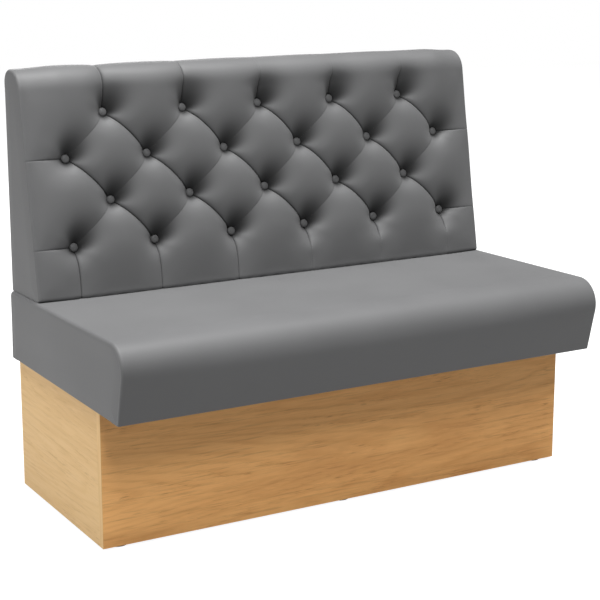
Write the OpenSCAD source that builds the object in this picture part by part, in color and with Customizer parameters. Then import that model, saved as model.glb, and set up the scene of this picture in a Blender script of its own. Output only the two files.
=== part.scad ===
// Upholstered banquette bench: an oak-faced plinth, a seat with a rounded nose, and a
// deep-buttoned wedge back.
// Frame: X along the seat with 0 in the middle, -Y to the front, Z up from the floor.
// Y is 0 halfway between the seat's nose and its rear.

/* [Seat] */
// Width of the seat from end to end
seat_w = 1200; // [900:50:1800]
// Depth of the seat from its nose to its rear
seat_d = 630; // [600:5:660]
// Height of the seat's top above the floor, at the nose
seat_h = 473; // [440:1:500]
// Thickness of the upholstered seat at the nose
seat_t = 169; // [150:1:185]
// Radius of the rounded nose
nose_r = 52; // [44:1:58]
// Angle at which the front leans out on its way up to the nose
front_lean = 11.7; // [8:0.1:14]
// Angle at which the top falls towards the rear
seat_fall = 1; // [0.5:0.1:2]
// Rise of the cushion's crown in the middle of its width
seat_crown = 5; // [2:0.5:8]

/* [Backrest] */
// Step in from the seat's end to the backrest's end
back_step = 3; // [1:0.5:6]
// Height of the backrest above the seat
back_h = 504; // [480:1:530]
// Depth of the backrest where it stands on the seat
back_d = 172; // [168:1:185]
// Angle at which the backrest's front leans to the rear
rake = 10; // [8:0.25:10.5]
// Radius of the rounded front edge of the top
top_front_r = 52; // [46:1:56]
// Radius of the rear edge of the top
top_rear_r = 30; // [26:1:34]

/* [Tufting] */
// Buttons in a wide row
tuft_cols = 6; // [4:1:8]
// Rows of buttons
tuft_rows = 4; // [2:1:4]
// Distance of the lowest row above the foot of the backrest, along the slope
first_row = 115; // [104:0.5:120]
// Distance of the highest row below the backrest's top, along the slope
last_row = 99; // [93:0.5:108]
// Diameter of a covered button
button_d = 20; // [16:1:24]
// Depth of a button's rim below the face between the tufts
button_sink = 17; // [13:0.5:18]
// Rise of a puff above that face
puff = 6; // [3:0.5:8]

/* [Plinth] */
// Step in from the seat's nose to the plinth's front
plinth_front_step = 132; // [110:1:180]
// Step in from the seat's rear to the plinth's rear
plinth_rear_step = 32; // [20:1:45]
// Step in from the seat's end to the plinth's end
plinth_step = 3; // [1:0.5:8]
// Thickness of the oak-faced board
panel_t = 18; // [15:1:22]
// Thickness of the oak edge band
band_t = 0.8; // [0.5:0.1:2]
// Side of the square corner battens and top cleats
batten_w = 25; // [22:1:30]

/* [Feet] */
// Diameter of a foot's pad
foot_d = 46; // [40:1:50]
// Thickness of a foot's pad
foot_t = 5; // [4:0.5:8]
// Distance that a foot screws out
foot_travel = 12; // [6:1:16]
// Diameter of a foot's screw
stem_d = 8; // [6:1:10]
// Distance of an end foot's middle from the plinth's end
foot_in = 45; // [42:1:60]
// Distance of a foot's middle from the plinth's front or rear
foot_back = 30; // [28:1:40]

/* [Frames] */
// Thickness of a softwood rail
rail_t = 30; // [24:1:34]
// Height of the seat frame's rails
rail_h = 45; // [38:1:52]
// Thickness of the plywood seat board
seat_board_t = 12; // [9:1:15]
// Thickness of the plywood buttoning board
back_board_t = 9; // [6:1:10]
// Thickness of the backrest's ribs and end boards
rib_t = 18; // [15:1:20]
// Thickness of the foam slab in the backrest
back_foam_t = 20; // [15:1:22]
// Thickness of the foam lip in front of the seat frame, at its foot
foam_lip = 15; // [10:1:20]
// Diameter of the bolts that hold the backrest down
bolt_d = 8; // [6:1:10]

/* [Hidden] */
$fn = 48;

// Clearances that every piece shares
soft_gap = 0.3;
hole_gap = 0.05;
glue_gap = 0.1;
overrun = 1;

// Sides of a small hole's circle, where many are drilled
hole_fn = 16;

// Angles
half_turn = 180;
right_angle = 90;

// Upholstery layers
cover_t = 5;
hem_w = 32;
hem_t = 2.5;
end_cover_t = 3;
end_inset = 3;
rim_w = 8;
rim_drop = 3;
cloth_t = 2;

// Seat outline, in Y and Z
seat_front_y = -seat_d / 2;
seat_rear_y = seat_d / 2;
seat_bottom = seat_h - seat_t;
nose_y = seat_front_y + nose_r;
nose_z = seat_h - nose_r;
nose_steps = 8;
front_steps = 3;
top_steps = 6;
seat_rear_r = 12;
rear_steps = 3;
seat_half = seat_w / 2 - end_cover_t - soft_gap;
seat_spans = 12;
back_foot_y = seat_rear_y - back_d;

// Seat frame
frame_bottom = seat_bottom + hem_t + soft_gap;
frame_top = frame_bottom + rail_h;
board_top = frame_top + seat_board_t;
frame_front = seat_front(frame_bottom) + cover_t + soft_gap + foam_lip;
frame_rear = seat_rear_y - cover_t - soft_gap;
cross_shares = [-0.36, -0.12, 0.12, 0.36];
seat_block_w = 60;
riser_front = back_foot_y + cover_t + rail_t / 4;
riser_chamfer = seat_rear_r - cover_t;

// Backrest outline, in Y and Z, and its layers along the slope's normal
back_half_full = seat_w / 2 - back_step;
back_half = back_half_full - end_cover_t - soft_gap;
back_foot_z = seat_top(back_foot_y) + soft_gap;
back_top_z = back_foot_z + back_h;
head_below = 9;
pit_below_head = 2.5;
under_pit = 3.5;
pit_floor = button_sink + head_below + pit_below_head;
soft_t = pit_floor + under_pit;
foam_face = soft_t + soft_gap;
board_face = foam_face + back_foam_t;
board_rear = board_face + back_board_t;
frame_face = board_rear + glue_gap;
top_soft_t = 15;
top_foam_t = 15;
rear_layer = 6;
outside_board_t = 3;
lip_w = 42;
inner_front_r = 25;
inner_rear_r = 14;
rail_top_z = back_top_z - top_soft_t - soft_gap - top_foam_t;
back_rail_h = 40;
back_frame_rear = seat_rear_y - rear_layer;
bottom_rail_top = back_foot_z + rail_t;
rib_shares = [-2.25, -0.75, 0.75, 2.25];
end_cover_inset = 4;

// Tufting: the grid follows the diamonds, so that pleats run along its edges and diagonals
col_pitch = 2 * back_half_full / tuft_cols;
cell_steps = 3;
foot_rows = 4;
neck_rows = 2;
crown_steps = 6;
crown_rear_steps = 3;
round_w = 8;
round_drop = 4;
puff_fade = 45;
crown_fade = 100;
foot_share = 0.35;
fade_share = 1.3;
pleat_w = 18;
pleat_sink = 4;
pit_w = 30;
end_share = 0.75;
pit = pit_floor - pleat_sink;
straight_top = s_at(back_top_z - top_front_r * (1 - sin(rake)), 0);
lattice_top = back_h / cos(rake) - last_row;
row_pitch = (lattice_top - first_row) / (tuft_rows - 1);
skin_end = straight_top + back_d;
fade_end = straight_top + (top_front_r + top_rear_r) * fade_share;

// Buttons, ties and washers
dome_h = 2.5;
rim_h = 2.5;
shank_r = 2.2;
cone_h = 5.5;
tie_r = 1;
tie_hole_r = 1.4;
foam_hole_r = 6;
board_hole_r = 4;
washer_r = 9;
washer_t = 2;
knot_r = 2.6;

// A foot's screw keeps a share of its insert's length when it is screwed out
insert_len = 20;
grip_share = 0.75;
stem_len = foot_travel + insert_len * grip_share;
stem_room = 3;

// Plinth
plinth_half = seat_w / 2 - plinth_step;
plinth_rear_y = seat_rear_y - plinth_rear_step;
plinth_front_y = seat_front_y + plinth_front_step;
plinth_bottom = foot_t + soft_gap;
plinth_top = seat_bottom - soft_gap;
inner_front_y = plinth_front_y + panel_t;
inner_rear_y = plinth_rear_y - panel_t;
inner_half = plinth_half - panel_t;
block_w = 60;
block_h = stem_len + stem_room;
block_top = plinth_bottom + block_h;
batten_h = plinth_top - block_top;

// Feet and inserts
foot_x = plinth_half - foot_in;
foot_front_y = plinth_front_y + foot_back;
foot_rear_y = plinth_rear_y - foot_back;
FEET = [
    [-foot_x, foot_front_y], [0, foot_front_y], [foot_x, foot_front_y],
    [-foot_x, foot_rear_y], [0, foot_rear_y], [foot_x, foot_rear_y]
];
stem_gap = 0.05;
insert_wall = 2;
insert_flange_r = 10;
insert_flange_t = 1.5;
pad_chamfer = 1;

// Screws
screw_r = 2;
screw_head_r = 4;
screw_head_h = 2.5;
screw_bite = 12;
screw_high_share = 0.72;
screw_low_share = 0.2;
screw_stagger = 20;
seat_screw_bite = 28;

// Bolts through the seat into the backrest
bolt_shares = [-0.44, -0.24, 0.24, 0.44];
bolt_y = (riser_front + frame_rear) / 2;
bolt_head_h = 5.5;
bolt_washer_t = 1.6;
bolt_washer_r = bolt_d;
bolt_hole_r = bolt_d / 2 + soft_gap;
nut_h = 6.5;
nut_share = 0.85;
nut_r = bolt_d * nut_share;
bolt_tail = 4;

oak = "burlywood";
timber = "wheat";
grey = [0.4, 0.4, 0.41];
steel = "silver";
black = [0.08, 0.08, 0.08];
foam_colour = "lightyellow";

// Points along an arc about c, from angle a to angle b
function arc(c, r, a, b, n) = [for (i = [0:n]) c + r * [cos(a + (b - a) * i / n), sin(a + (b - a) * i / n)]];

function unit(v) = v / norm(v);

function turn(a, b) = (b - a + 3 * half_turn) % (2 * half_turn) - half_turn;

// Points of the arc that rounds the corner q between p and t
function corner(p, q, t, r, n) =
    let (
        u = unit(p - q),
        v = unit(t - q),
        half = acos(u * v) / 2,
        c = q + unit(u + v) * r / sin(half),
        from = q + u * r / tan(half) - c,
        to = q + v * r / tan(half) - c,
        a = atan2(from[1], from[0])
    )
    arc(c, r, a, a + turn(a, atan2(to[1], to[0])), n);

// Front and top of the seat's outline
function seat_front(z) =
    nose_y - nose_r * cos(front_lean) + (nose_z - nose_r * sin(front_lean) - z) * tan(front_lean);

function seat_top(y) = nose_z + nose_r / cos(seat_fall) - (y - nose_y) * tan(seat_fall);

// Seat section from hem to hem: inset by e, hems h thick, crown raised by c
function seat_section(e, h, c) =
    let (
        foot = seat_bottom + h,
        arc_z = nose_z - (nose_r - e) * sin(front_lean),
        flat_y = nose_y + nose_r * sin(seat_fall),
        heel_y = seat_rear_y - seat_rear_r,
        heel_z = seat_top(heel_y) - seat_rear_r / cos(seat_fall)
    )
    concat(
        [[seat_front(seat_bottom) + hem_w, foot]],
        [for (k = [0:front_steps - 1])
            let (z = foot + (arc_z - foot) * k / front_steps)
            [seat_front(z) + e / cos(front_lean), z]],
        arc([nose_y, nose_z], nose_r - e, half_turn + front_lean, right_angle - seat_fall, nose_steps),
        [for (k = [1:top_steps])
            let (y = flat_y + (back_foot_y - flat_y) * k / top_steps)
            [y, seat_top(y) - e / cos(seat_fall) + c * sin(half_turn * k / top_steps)]],
        arc([heel_y, heel_z], seat_rear_r - e, right_angle - seat_fall, 0, rear_steps),
        [[seat_rear_y - e, foot], [seat_rear_y - hem_w, foot]]
    );

// Top of the rails that carry the backrest
function riser_top(y) = seat_top(y) - cover_t / cos(seat_fall) - soft_gap;

// Closed seat outline without its hems
function seat_outline(e) =
    let (s = seat_section(e, 0, 0))
    [for (k = [1:len(s) - 2]) s[k]];

// Point of the backrest, s along the slope and h out from it
function face(s, h) =
    [back_foot_y + s * sin(rake) - h * cos(rake), back_foot_z + s * cos(rake) + h * sin(rake)];

// Where a plane h out from the slope meets the backrest's underside
function foot_s(h) = -h * tan(rake - seat_fall);

function under_z(y) = back_foot_z - (y - back_foot_y) * tan(seat_fall);

// Distance along the slope at which a plane h out from it reaches height z
function s_at(z, h) = (z - back_foot_z - h * sin(rake)) / cos(rake);

// Closed outline of the backrest's side, inset by f in front, t at the top and r at the rear
function back_outline(f, t, r, front_r, rear_r) =
    let (
        a = face(foot_s(-f), -f),
        b = face(s_at(back_top_z - t, -f), -f),
        c = [seat_rear_y - r, back_top_z - t],
        d = [seat_rear_y - r, under_z(seat_rear_y - r)]
    )
    concat([a], corner(a, b, c, front_r, crown_steps), corner(b, c, d, rear_r, crown_rear_steps), [d]);

// Rows of buttons: a wide row, then one with a button fewer, and so on upwards
function row_count(j) = tuft_cols - j % 2;

function row_s(j) = first_row + j * row_pitch;

function button_x(i, j) = (i - (row_count(j) - 1) / 2) * col_pitch;

BUTTONS = [for (j = [0:tuft_rows - 1], i = [0:row_count(j) - 1]) [button_x(i, j), row_s(j)]];

// Pleats: between neighbours, down to the foot, over the top, and out to the ends
DIAGONAL_PLEATS = [
    for (a = BUTTONS, b = BUTTONS)
        if (abs(b[1] - a[1] - row_pitch) < overrun && abs(a[0] - b[0]) < col_pitch) [a, b]
];
FOOT_PLEATS = [for (b = BUTTONS) if (b[1] < row_s(0) + overrun) [b, [b[0], 0]]];
TOP_PLEATS = [for (b = BUTTONS) if (b[1] > lattice_top - overrun) [b, [b[0], skin_end]]];
END_PLEATS = [
    for (b = BUTTONS)
        if (abs(b[0]) > back_half_full - col_pitch * end_share) [b, [sign(b[0]) * back_half_full, b[1]]]
];
PLEATS = concat(DIAGONAL_PLEATS, FOOT_PLEATS, TOP_PLEATS, END_PLEATS);

// Distance of the point q from the stretch p
function from_pleat(p, q) =
    let (
        d = p[1] - p[0],
        t = max(0, min(1, (q - p[0]) * d / (d * d)))
    )
    norm(q - p[0] - t * d);

// Height of the tufted surface over the slope
function tuft(x, s) =
    let (
        pleat = min([for (p = PLEATS) from_pleat(p, [x, s])]),
        button = min([for (b = BUTTONS) norm([x, s] - b)]),
        fade = max(0, min(
            1, (back_half - abs(x)) / puff_fade, foot_share + s / puff_fade, (fade_end - s) / crown_fade
        )),
        crease = exp(-pow(pleat / pleat_w, 2))
    )
    fade * (puff - (puff + pleat_sink) * crease) - pit * exp(-button / pit_w);

// Places across the backrest: the diamonds' own grid, with a rounded rim at each end
UNITS = tuft_cols * cell_steps;
COLUMNS = concat(
    [-back_half, -(back_half - round_w)],
    [for (u = [-UNITS + 1:UNITS - 1]) u * back_half_full / UNITS],
    [back_half - round_w, back_half]
);

// Drop of the rounded rim at place i of n
function rim_fall(i, n, drop) = i == 0 || i == n ? drop : 0;

// Rows up the backrest's outside: each is [distance along the skin, point, outward direction]
function slope_row(s) = [s, face(s, 0), [-cos(rake), sin(rake)]];

function arc_rows(s0, points, c) =
    [for (k = [0:len(points) - 1]) [s0 + k * norm(points[1] - points[0]), points[k], unit(points[k] - c)]];

OUTER = back_outline(0, 0, 0, top_front_r, top_rear_r);
FRONT_ARC = [for (k = [1:crown_steps + 1]) OUTER[k]];
FRONT_C = FRONT_ARC[crown_steps] - [0, top_front_r];
REAR_C = [seat_rear_y - top_rear_r, back_top_z - top_rear_r];
REAR_ARC = [for (k = [0:crown_rear_steps]) OUTER[crown_steps + 2 + k]];
START_S = s_at(FRONT_ARC[0][1], 0);
FOOT_PART = [for (k = [0:foot_rows - 1]) slope_row(first_row * k / foot_rows)];
LATTICE_PART = [for (k = [0:(tuft_rows - 1) * cell_steps]) slope_row(first_row + row_pitch * k / cell_steps)];
NECK_PART = [
    for (k = [1:neck_rows - 1]) slope_row(lattice_top + (START_S - lattice_top) * k / neck_rows)
];
CROWN_PART = arc_rows(START_S, FRONT_ARC, FRONT_C);
CROWN_S = CROWN_PART[crown_steps][0];
REAR_S = CROWN_S + REAR_ARC[0][0] - FRONT_ARC[crown_steps][0];
REAR_PART = arc_rows(REAR_S, REAR_ARC, REAR_C);
LIP_ROW = [[skin_end, [seat_rear_y, back_top_z - lip_w], [1, 0]]];
ROWS = concat(FOOT_PART, LATTICE_PART, NECK_PART, CROWN_PART, REAR_PART, LIP_ROW);

// Inside of the tufted layer: as many points as there are rows, on a plain outline
INNER = back_outline(soft_t, top_soft_t, rear_layer - soft_gap, inner_front_r, inner_rear_r);
INNER_START_S = s_at(INNER[1][1], -soft_t);
INNER_SLOPE = concat(FOOT_PART, LATTICE_PART, NECK_PART);
INNER_POINTS = concat(
    [for (r = INNER_SLOPE)
        let (s0 = foot_s(-soft_t))
        face(s0 + (INNER_START_S - s0) * r[0] / START_S, -soft_t)],
    [for (k = [1:crown_steps + crown_rear_steps + 2]) INNER[k]],
    [[seat_rear_y - rear_layer + soft_gap, back_top_z - lip_w]]
);

// Closed skin: a grid of outer points, and an inner side that runs straight from end to end.
// outer holds one row of [x, y, z] points for each point of inner; half is the inner side's reach.
// rising(k, i) tells which diagonal splits a cell.
module skin(outer, inner, half, rising) {
    nk = len(outer) - 1;
    nx = len(outer[0]) - 1;
    base = (nk + 1) * (nx + 1);
    o = function (k, i) k * (nx + 1) + i;
    l = function (k) base + 2 * k;
    r = function (k) base + 2 * k + 1;
    points = concat(
        [for (row = outer, p = row) p],
        [for (p = inner, side = [-half, half]) [side, p[0], p[1]]]
    );
    grid = [
        for (k = [0:nk - 1], i = [0:nx - 1], part = [0, 1])
            let (a = o(k, i), b = o(k + 1, i), c = o(k + 1, i + 1), d = o(k, i + 1))
            rising(k, i) ? (part == 0 ? [a, b, c] : [a, c, d]) : (part == 0 ? [a, b, d] : [b, c, d])
    ];
    lining = [for (k = [0:nk - 1], f = [[l(k), r(k), r(k + 1)], [l(k), r(k + 1), l(k + 1)]]) f];
    left = [for (k = [0:nk - 1], f = [[o(k + 1, 0), o(k, 0), l(k)], [o(k + 1, 0), l(k), l(k + 1)]]) f];
    right = [
        for (k = [0:nk - 1], f = [[o(k, nx), o(k + 1, nx), r(k)], [o(k + 1, nx), r(k + 1), r(k)]]) f
    ];
    first = concat([for (i = [0:nx - 1]) [o(0, i), o(0, i + 1), l(0)]], [[o(0, nx), r(0), l(0)]]);
    last = concat(
        [for (i = [0:nx - 1]) [o(nk, i + 1), o(nk, i), l(nk)]],
        [[o(nk, nx), l(nk), r(nk)]]
    );
    polyhedron(points, concat(grid, lining, left, right, first, last), convexity = 10);
}

// A side outline in Y and Z, extruded along X about its middle
module across(w, points) {
    rotate([right_angle, 0, right_angle])
        linear_extrude(w, center = true)
            polygon(points);
}

// A box between two corners
module block(a, b) {
    translate(a)
        cube(b - a);
}

// Children stand on the backrest's slope, h out from it, with their own Z pointing outwards
module on_slope(x, s, h) {
    p = face(s, h);
    translate([x, p[0], p[1]])
        rotate([right_angle - rake, 0, 0])
            children();
}

// Holes through the backrest's layers, one behind each button, reaching from deep to shallow
module button_holes(r, deep, shallow) {
    for (b = BUTTONS)
        on_slope(b[0], b[1], -deep)
            cylinder(h = deep - shallow, r = r);
}

// Plinth
module plinth_front_panel() {
    color(oak)
        difference() {
            block(
                [-plinth_half + band_t, plinth_front_y, plinth_bottom],
                [plinth_half - band_t, inner_front_y, plinth_top]
            );
            batten_screw_holes();
        }
}

module plinth_edge_bands() {
    color(oak)
        for (side = [-1, 1])
            block(
                [side * plinth_half - (side + 1) / 2 * band_t, plinth_front_y, plinth_bottom],
                [side * plinth_half + (1 - side) / 2 * band_t, inner_front_y, plinth_top]
            );
}

module plinth_end_panel(side) {
    color(oak)
        difference() {
            block(
                [side * plinth_half - (side + 1) / 2 * panel_t, inner_front_y, plinth_bottom],
                [side * plinth_half + (1 - side) / 2 * panel_t, plinth_rear_y, plinth_top]
            );
            batten_screw_holes();
        }
}

module plinth_left_panel() {
    plinth_end_panel(-1);
}

module plinth_right_panel() {
    plinth_end_panel(1);
}

module plinth_back_panel() {
    color(oak)
        difference() {
            block([-inner_half, inner_rear_y, plinth_bottom], [inner_half, plinth_rear_y, plinth_top]);
            batten_screw_holes();
        }
}

// The divider stands on the middle foot blocks and is notched over them
module plinth_divider() {
    color(timber)
        difference() {
            across(panel_t, [
                [inner_front_y, block_top], [inner_front_y + block_w, block_top],
                [inner_front_y + block_w, plinth_bottom], [inner_rear_y - block_w, plinth_bottom],
                [inner_rear_y - block_w, block_top], [inner_rear_y, block_top],
                [inner_rear_y, plinth_top], [inner_front_y, plinth_top]
            ]);
            batten_screw_holes();
        }
}

// Upright battens: corner, direction into the plinth along X, and along Y
BATTENS = [
    [-inner_half, inner_front_y, 1, 1], [inner_half, inner_front_y, -1, 1],
    [-inner_half, inner_rear_y, 1, -1], [inner_half, inner_rear_y, -1, -1],
    [panel_t / 2, inner_front_y, 1, 1], [panel_t / 2, inner_rear_y, 1, -1]
];

module plinth_corner_battens() {
    color(timber)
        difference() {
            for (b = BATTENS)
                translate([min(b[0], b[0] + b[2] * batten_w), min(b[1], b[1] + b[3] * batten_w), block_top])
                    cube([batten_w, batten_w, batten_h]);
            batten_screw_holes();
        }
}

// Screws go from each batten into the panel at its corner: two along Y and two along X
module batten_screw_places() {
    for (b = BATTENS, share = [screw_low_share, screw_high_share]) {
        z = block_top + batten_h * share;
        translate([b[0] + b[2] * batten_w / 2, b[1] + b[3] * batten_w, z])
            rotate([b[3] * right_angle, 0, 0])
                children();
        translate([b[0] + b[2] * batten_w, b[1] + b[3] * batten_w / 2, z + screw_stagger])
            rotate([0, -b[2] * right_angle, 0])
                children();
    }
}

module batten_screw_holes() {
    batten_screw_places()
        translate([0, 0, -overrun])
            cylinder(h = overrun + batten_w + screw_bite, r = screw_r + hole_gap);
}

module plinth_screws() {
    color(steel)
        batten_screw_places() {
            cylinder(h = batten_w + screw_bite - hole_gap, r = screw_r);
            translate([0, 0, -screw_head_h])
                cylinder(h = screw_head_h, r = screw_head_r);
        }
}

// Top cleats run between the battens, along the front and the back panel
CLEATS = [
    for (b = [BATTENS[0], BATTENS[1], BATTENS[2], BATTENS[3]])
        let (
            divider = b[2] < 0 ? panel_t / 2 + batten_w : -panel_t / 2,
            end = b[0] + b[2] * batten_w,
            side = b[1] + b[3] * batten_w
        )
        [[min(end, divider), min(b[1], side)], [max(end, divider), max(b[1], side)]]
];

module plinth_top_cleats() {
    color(timber)
        difference() {
            for (c = CLEATS)
                block([c[0][0], c[0][1], plinth_top - batten_w], [c[1][0], c[1][1], plinth_top]);
            seat_screw_holes();
        }
}

module plinth_foot_blocks() {
    color(timber)
        difference() {
            for (side = [-1, 1]) {
                y0 = side < 0 ? inner_front_y : inner_rear_y - block_w;
                for (x0 = [-inner_half, -block_w / 2, inner_half - block_w])
                    block([x0, y0, plinth_bottom], [x0 + block_w, y0 + block_w, block_top]);
            }
            for (f = FEET)
                translate([f[0], f[1], plinth_bottom - overrun]) {
                    cylinder(h = block_h + 2 * overrun, r = stem_d / 2 + insert_wall + hole_gap);
                    cylinder(h = overrun + insert_flange_t, r = insert_flange_r + hole_gap);
                }
        }
}

// Flanged inserts that the feet's screws run in
module foot_inserts() {
    color(steel)
        for (f = FEET)
            translate([f[0], f[1], plinth_bottom])
                difference() {
                    union() {
                        cylinder(h = insert_len, r = stem_d / 2 + insert_wall);
                        cylinder(h = insert_flange_t, r = insert_flange_r);
                    }
                    translate([0, 0, -overrun])
                        cylinder(h = insert_len + 2 * overrun, r = stem_d / 2 + stem_gap);
                }
}

module foot_pad(i) {
    color(black)
        translate([FEET[i][0], FEET[i][1], 0])
            rotate_extrude()
                polygon([
                    [0, 0], [foot_d / 2 - pad_chamfer, 0], [foot_d / 2, pad_chamfer],
                    [foot_d / 2, foot_t - pad_chamfer], [foot_d / 2 - pad_chamfer, foot_t], [0, foot_t]
                ]);
}

module foot_stem(i) {
    color(steel)
        translate([FEET[i][0], FEET[i][1], foot_t])
            cylinder(h = stem_len, r = stem_d / 2);
}

module front_left_pad() {
    foot_pad(0);
}

module front_middle_pad() {
    foot_pad(1);
}

module front_right_pad() {
    foot_pad(2);
}

module rear_left_pad() {
    foot_pad(3);
}

module rear_middle_pad() {
    foot_pad(4);
}

module rear_right_pad() {
    foot_pad(5);
}

module front_left_stem() {
    foot_stem(0);
}

module front_middle_stem() {
    foot_stem(1);
}

module front_right_stem() {
    foot_stem(2);
}

module rear_left_stem() {
    foot_stem(3);
}

module rear_middle_stem() {
    foot_stem(4);
}

module rear_right_stem() {
    foot_stem(5);
}

// Seat frame
module seat_front_rail() {
    color(timber)
        block([-seat_half, frame_front, frame_bottom], [seat_half, frame_front + rail_t, frame_top]);
}

module seat_rear_rail() {
    color(timber)
        block([-seat_half, frame_rear - rail_t, frame_bottom], [seat_half, frame_rear, frame_top]);
}

module seat_end_rails() {
    color(timber)
        for (side = [-1, 1])
            block(
                [side * seat_half - (side + 1) / 2 * rail_t, frame_front + rail_t, frame_bottom],
                [side * seat_half + (1 - side) / 2 * rail_t, frame_rear - rail_t, frame_top]
            );
}

module seat_cross_rails() {
    color(timber)
        difference() {
            for (share = cross_shares)
                translate([share * seat_w - rail_t / 2, frame_front + rail_t, frame_bottom])
                    cube([rail_t, frame_rear - frame_front - 2 * rail_t, rail_h]);
            seat_screw_holes();
        }
}

// Three-cornered blocks that brace the frame's corners
module seat_corner_blocks() {
    color(timber)
        for (sx = [-1, 1], sy = [-1, 1])
            translate([
                sx * (seat_half - rail_t),
                sy < 0 ? frame_front + rail_t : frame_rear - rail_t,
                frame_bottom
            ])
                linear_extrude(rail_h)
                    polygon([[0, 0], [-sx * seat_block_w, 0], [0, -sy * seat_block_w]]);
}

module seat_board() {
    color(timber)
        difference() {
            block([-seat_half, frame_front, frame_top], [seat_half, frame_rear, board_top]);
            bolt_holes(frame_top - overrun, board_top + overrun);
        }
}

// Rails that carry the backrest through the foam, their tops cut to the seat's fall
module seat_riser_rails() {
    color(timber)
        for (y = [riser_front, frame_rear - rail_t])
            across(2 * seat_half, [
                [y, board_top], [y + rail_t, board_top],
                [y + rail_t, riser_top(y + rail_t) - riser_chamfer],
                [y + rail_t - riser_chamfer, riser_top(y + rail_t - riser_chamfer)],
                [y, riser_top(y)]
            ]);
}

// One block of foam with its nose rounded and a lip down the front of the frame
module seat_foam() {
    e = cover_t + soft_gap;
    arc_z = nose_z - (nose_r - e) * sin(front_lean);
    rear = riser_front - soft_gap;
    color(foam_colour)
        across(2 * seat_half, concat(
            [[seat_front(frame_bottom) + e / cos(front_lean), frame_bottom]],
            [[seat_front(arc_z) + e / cos(front_lean), arc_z]],
            arc([nose_y, nose_z], nose_r - e, half_turn + front_lean, right_angle - seat_fall, nose_steps),
            [
                [rear, seat_top(rear) - e / cos(seat_fall)],
                [rear, board_top + soft_gap],
                [frame_front - soft_gap, board_top + soft_gap],
                [frame_front - soft_gap, frame_bottom]
            ]
        ));
}

// Main cover of the seat with its wadding, crowned across its width and drawn in at its ends
module seat_cover() {
    places = concat(
        [-seat_half, -(seat_half - rim_w)],
        [for (i = [1:seat_spans - 1]) (2 * i / seat_spans - 1) * (seat_half - rim_w)],
        [seat_half - rim_w, seat_half]
    );
    n = len(places) - 1;
    sections = [
        for (i = [0:n])
            seat_section(
                rim_fall(i, n, rim_drop), 0,
                seat_crown * (1 - pow(places[i] / seat_half, 2))
            )
    ];
    outer = [
        for (k = [0:len(sections[0]) - 1])
            [for (i = [0:n]) [places[i], sections[i][k][0], sections[i][k][1]]]
    ];
    color(grey)
        difference() {
            skin(outer, seat_section(cover_t, hem_t, 0), seat_half, function (k, i) true);
            bolt_holes(board_top + overrun, back_foot_z + overrun);
        }
}

module seat_end_cover(side) {
    color(grey)
        translate([side * (seat_w / 2 - end_cover_t / 2), 0, 0])
            across(end_cover_t, seat_outline(end_inset));
}

module seat_left_end_cover() {
    seat_end_cover(-1);
}

module seat_right_end_cover() {
    seat_end_cover(1);
}

// Cloth that closes the underside between the hems
module seat_bottom_cloth() {
    color(black)
        difference() {
            block(
                [-seat_half, seat_front(seat_bottom) + hem_w + soft_gap, seat_bottom],
                [seat_half, seat_rear_y - hem_w - soft_gap, seat_bottom + cloth_t]
            );
            seat_screw_holes();
        }
}

// Screws up through the plinth's cleats into the seat's cross rails
module seat_screw_places() {
    for (share = cross_shares, y = [inner_front_y + batten_w / 2, inner_rear_y - batten_w / 2])
        translate([share * seat_w, y, plinth_top - batten_w])
            children();
}

module seat_screw_holes() {
    seat_screw_places()
        translate([0, 0, -overrun])
            cylinder(h = overrun + batten_w + seat_screw_bite, r = screw_r + hole_gap);
}

module seat_fixing_screws() {
    color(steel)
        seat_screw_places() {
            cylinder(h = batten_w + seat_screw_bite - hole_gap, r = screw_r);
            translate([0, 0, -screw_head_h])
                cylinder(h = screw_head_h, r = screw_head_r);
        }
}

// Backrest frame
module back_bottom_rail() {
    front = face(foot_s(-frame_face), -frame_face);
    front_top = face(s_at(bottom_rail_top, -frame_face), -frame_face);
    color(timber)
        difference() {
            across(2 * (back_half - rib_t), [
                front, front_top, [back_frame_rear, bottom_rail_top],
                [back_frame_rear, under_z(back_frame_rear)]
            ]);
            bolt_holes(back_foot_z - rail_t, bottom_rail_top + overrun);
        }
}

module back_top_rail() {
    color(timber)
        across(2 * (back_half - rib_t), [
            face(s_at(rail_top_z - back_rail_h, -frame_face), -frame_face),
            face(s_at(rail_top_z, -frame_face), -frame_face),
            [back_frame_rear, rail_top_z],
            [back_frame_rear, rail_top_z - back_rail_h]
        ]);
}

module back_end_board(side) {
    color(timber)
        translate([side * (back_half - rib_t / 2), 0, 0])
            across(rib_t, [
                face(foot_s(-frame_face), -frame_face),
                face(s_at(rail_top_z, -frame_face), -frame_face),
                [back_frame_rear, rail_top_z],
                [back_frame_rear, under_z(back_frame_rear)]
            ]);
}

module back_left_end_board() {
    back_end_board(-1);
}

module back_right_end_board() {
    back_end_board(1);
}

module back_ribs() {
    color(timber)
        for (share = rib_shares)
            translate([share * col_pitch, 0, 0])
                across(rib_t, [
                    face(s_at(bottom_rail_top, -frame_face), -frame_face),
                    face(s_at(rail_top_z - back_rail_h, -frame_face), -frame_face),
                    [back_frame_rear, rail_top_z - back_rail_h],
                    [back_frame_rear, bottom_rail_top]
                ]);
}

// Plywood behind the foam, drilled for the ties
module back_board() {
    color(timber)
        difference() {
            across(2 * back_half, [
                face(foot_s(-board_face), -board_face),
                face(s_at(rail_top_z, -board_face), -board_face),
                face(s_at(rail_top_z, -board_rear), -board_rear),
                face(foot_s(-board_rear), -board_rear)
            ]);
            button_holes(board_hole_r, board_rear + overrun, board_face - overrun);
        }
}

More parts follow.
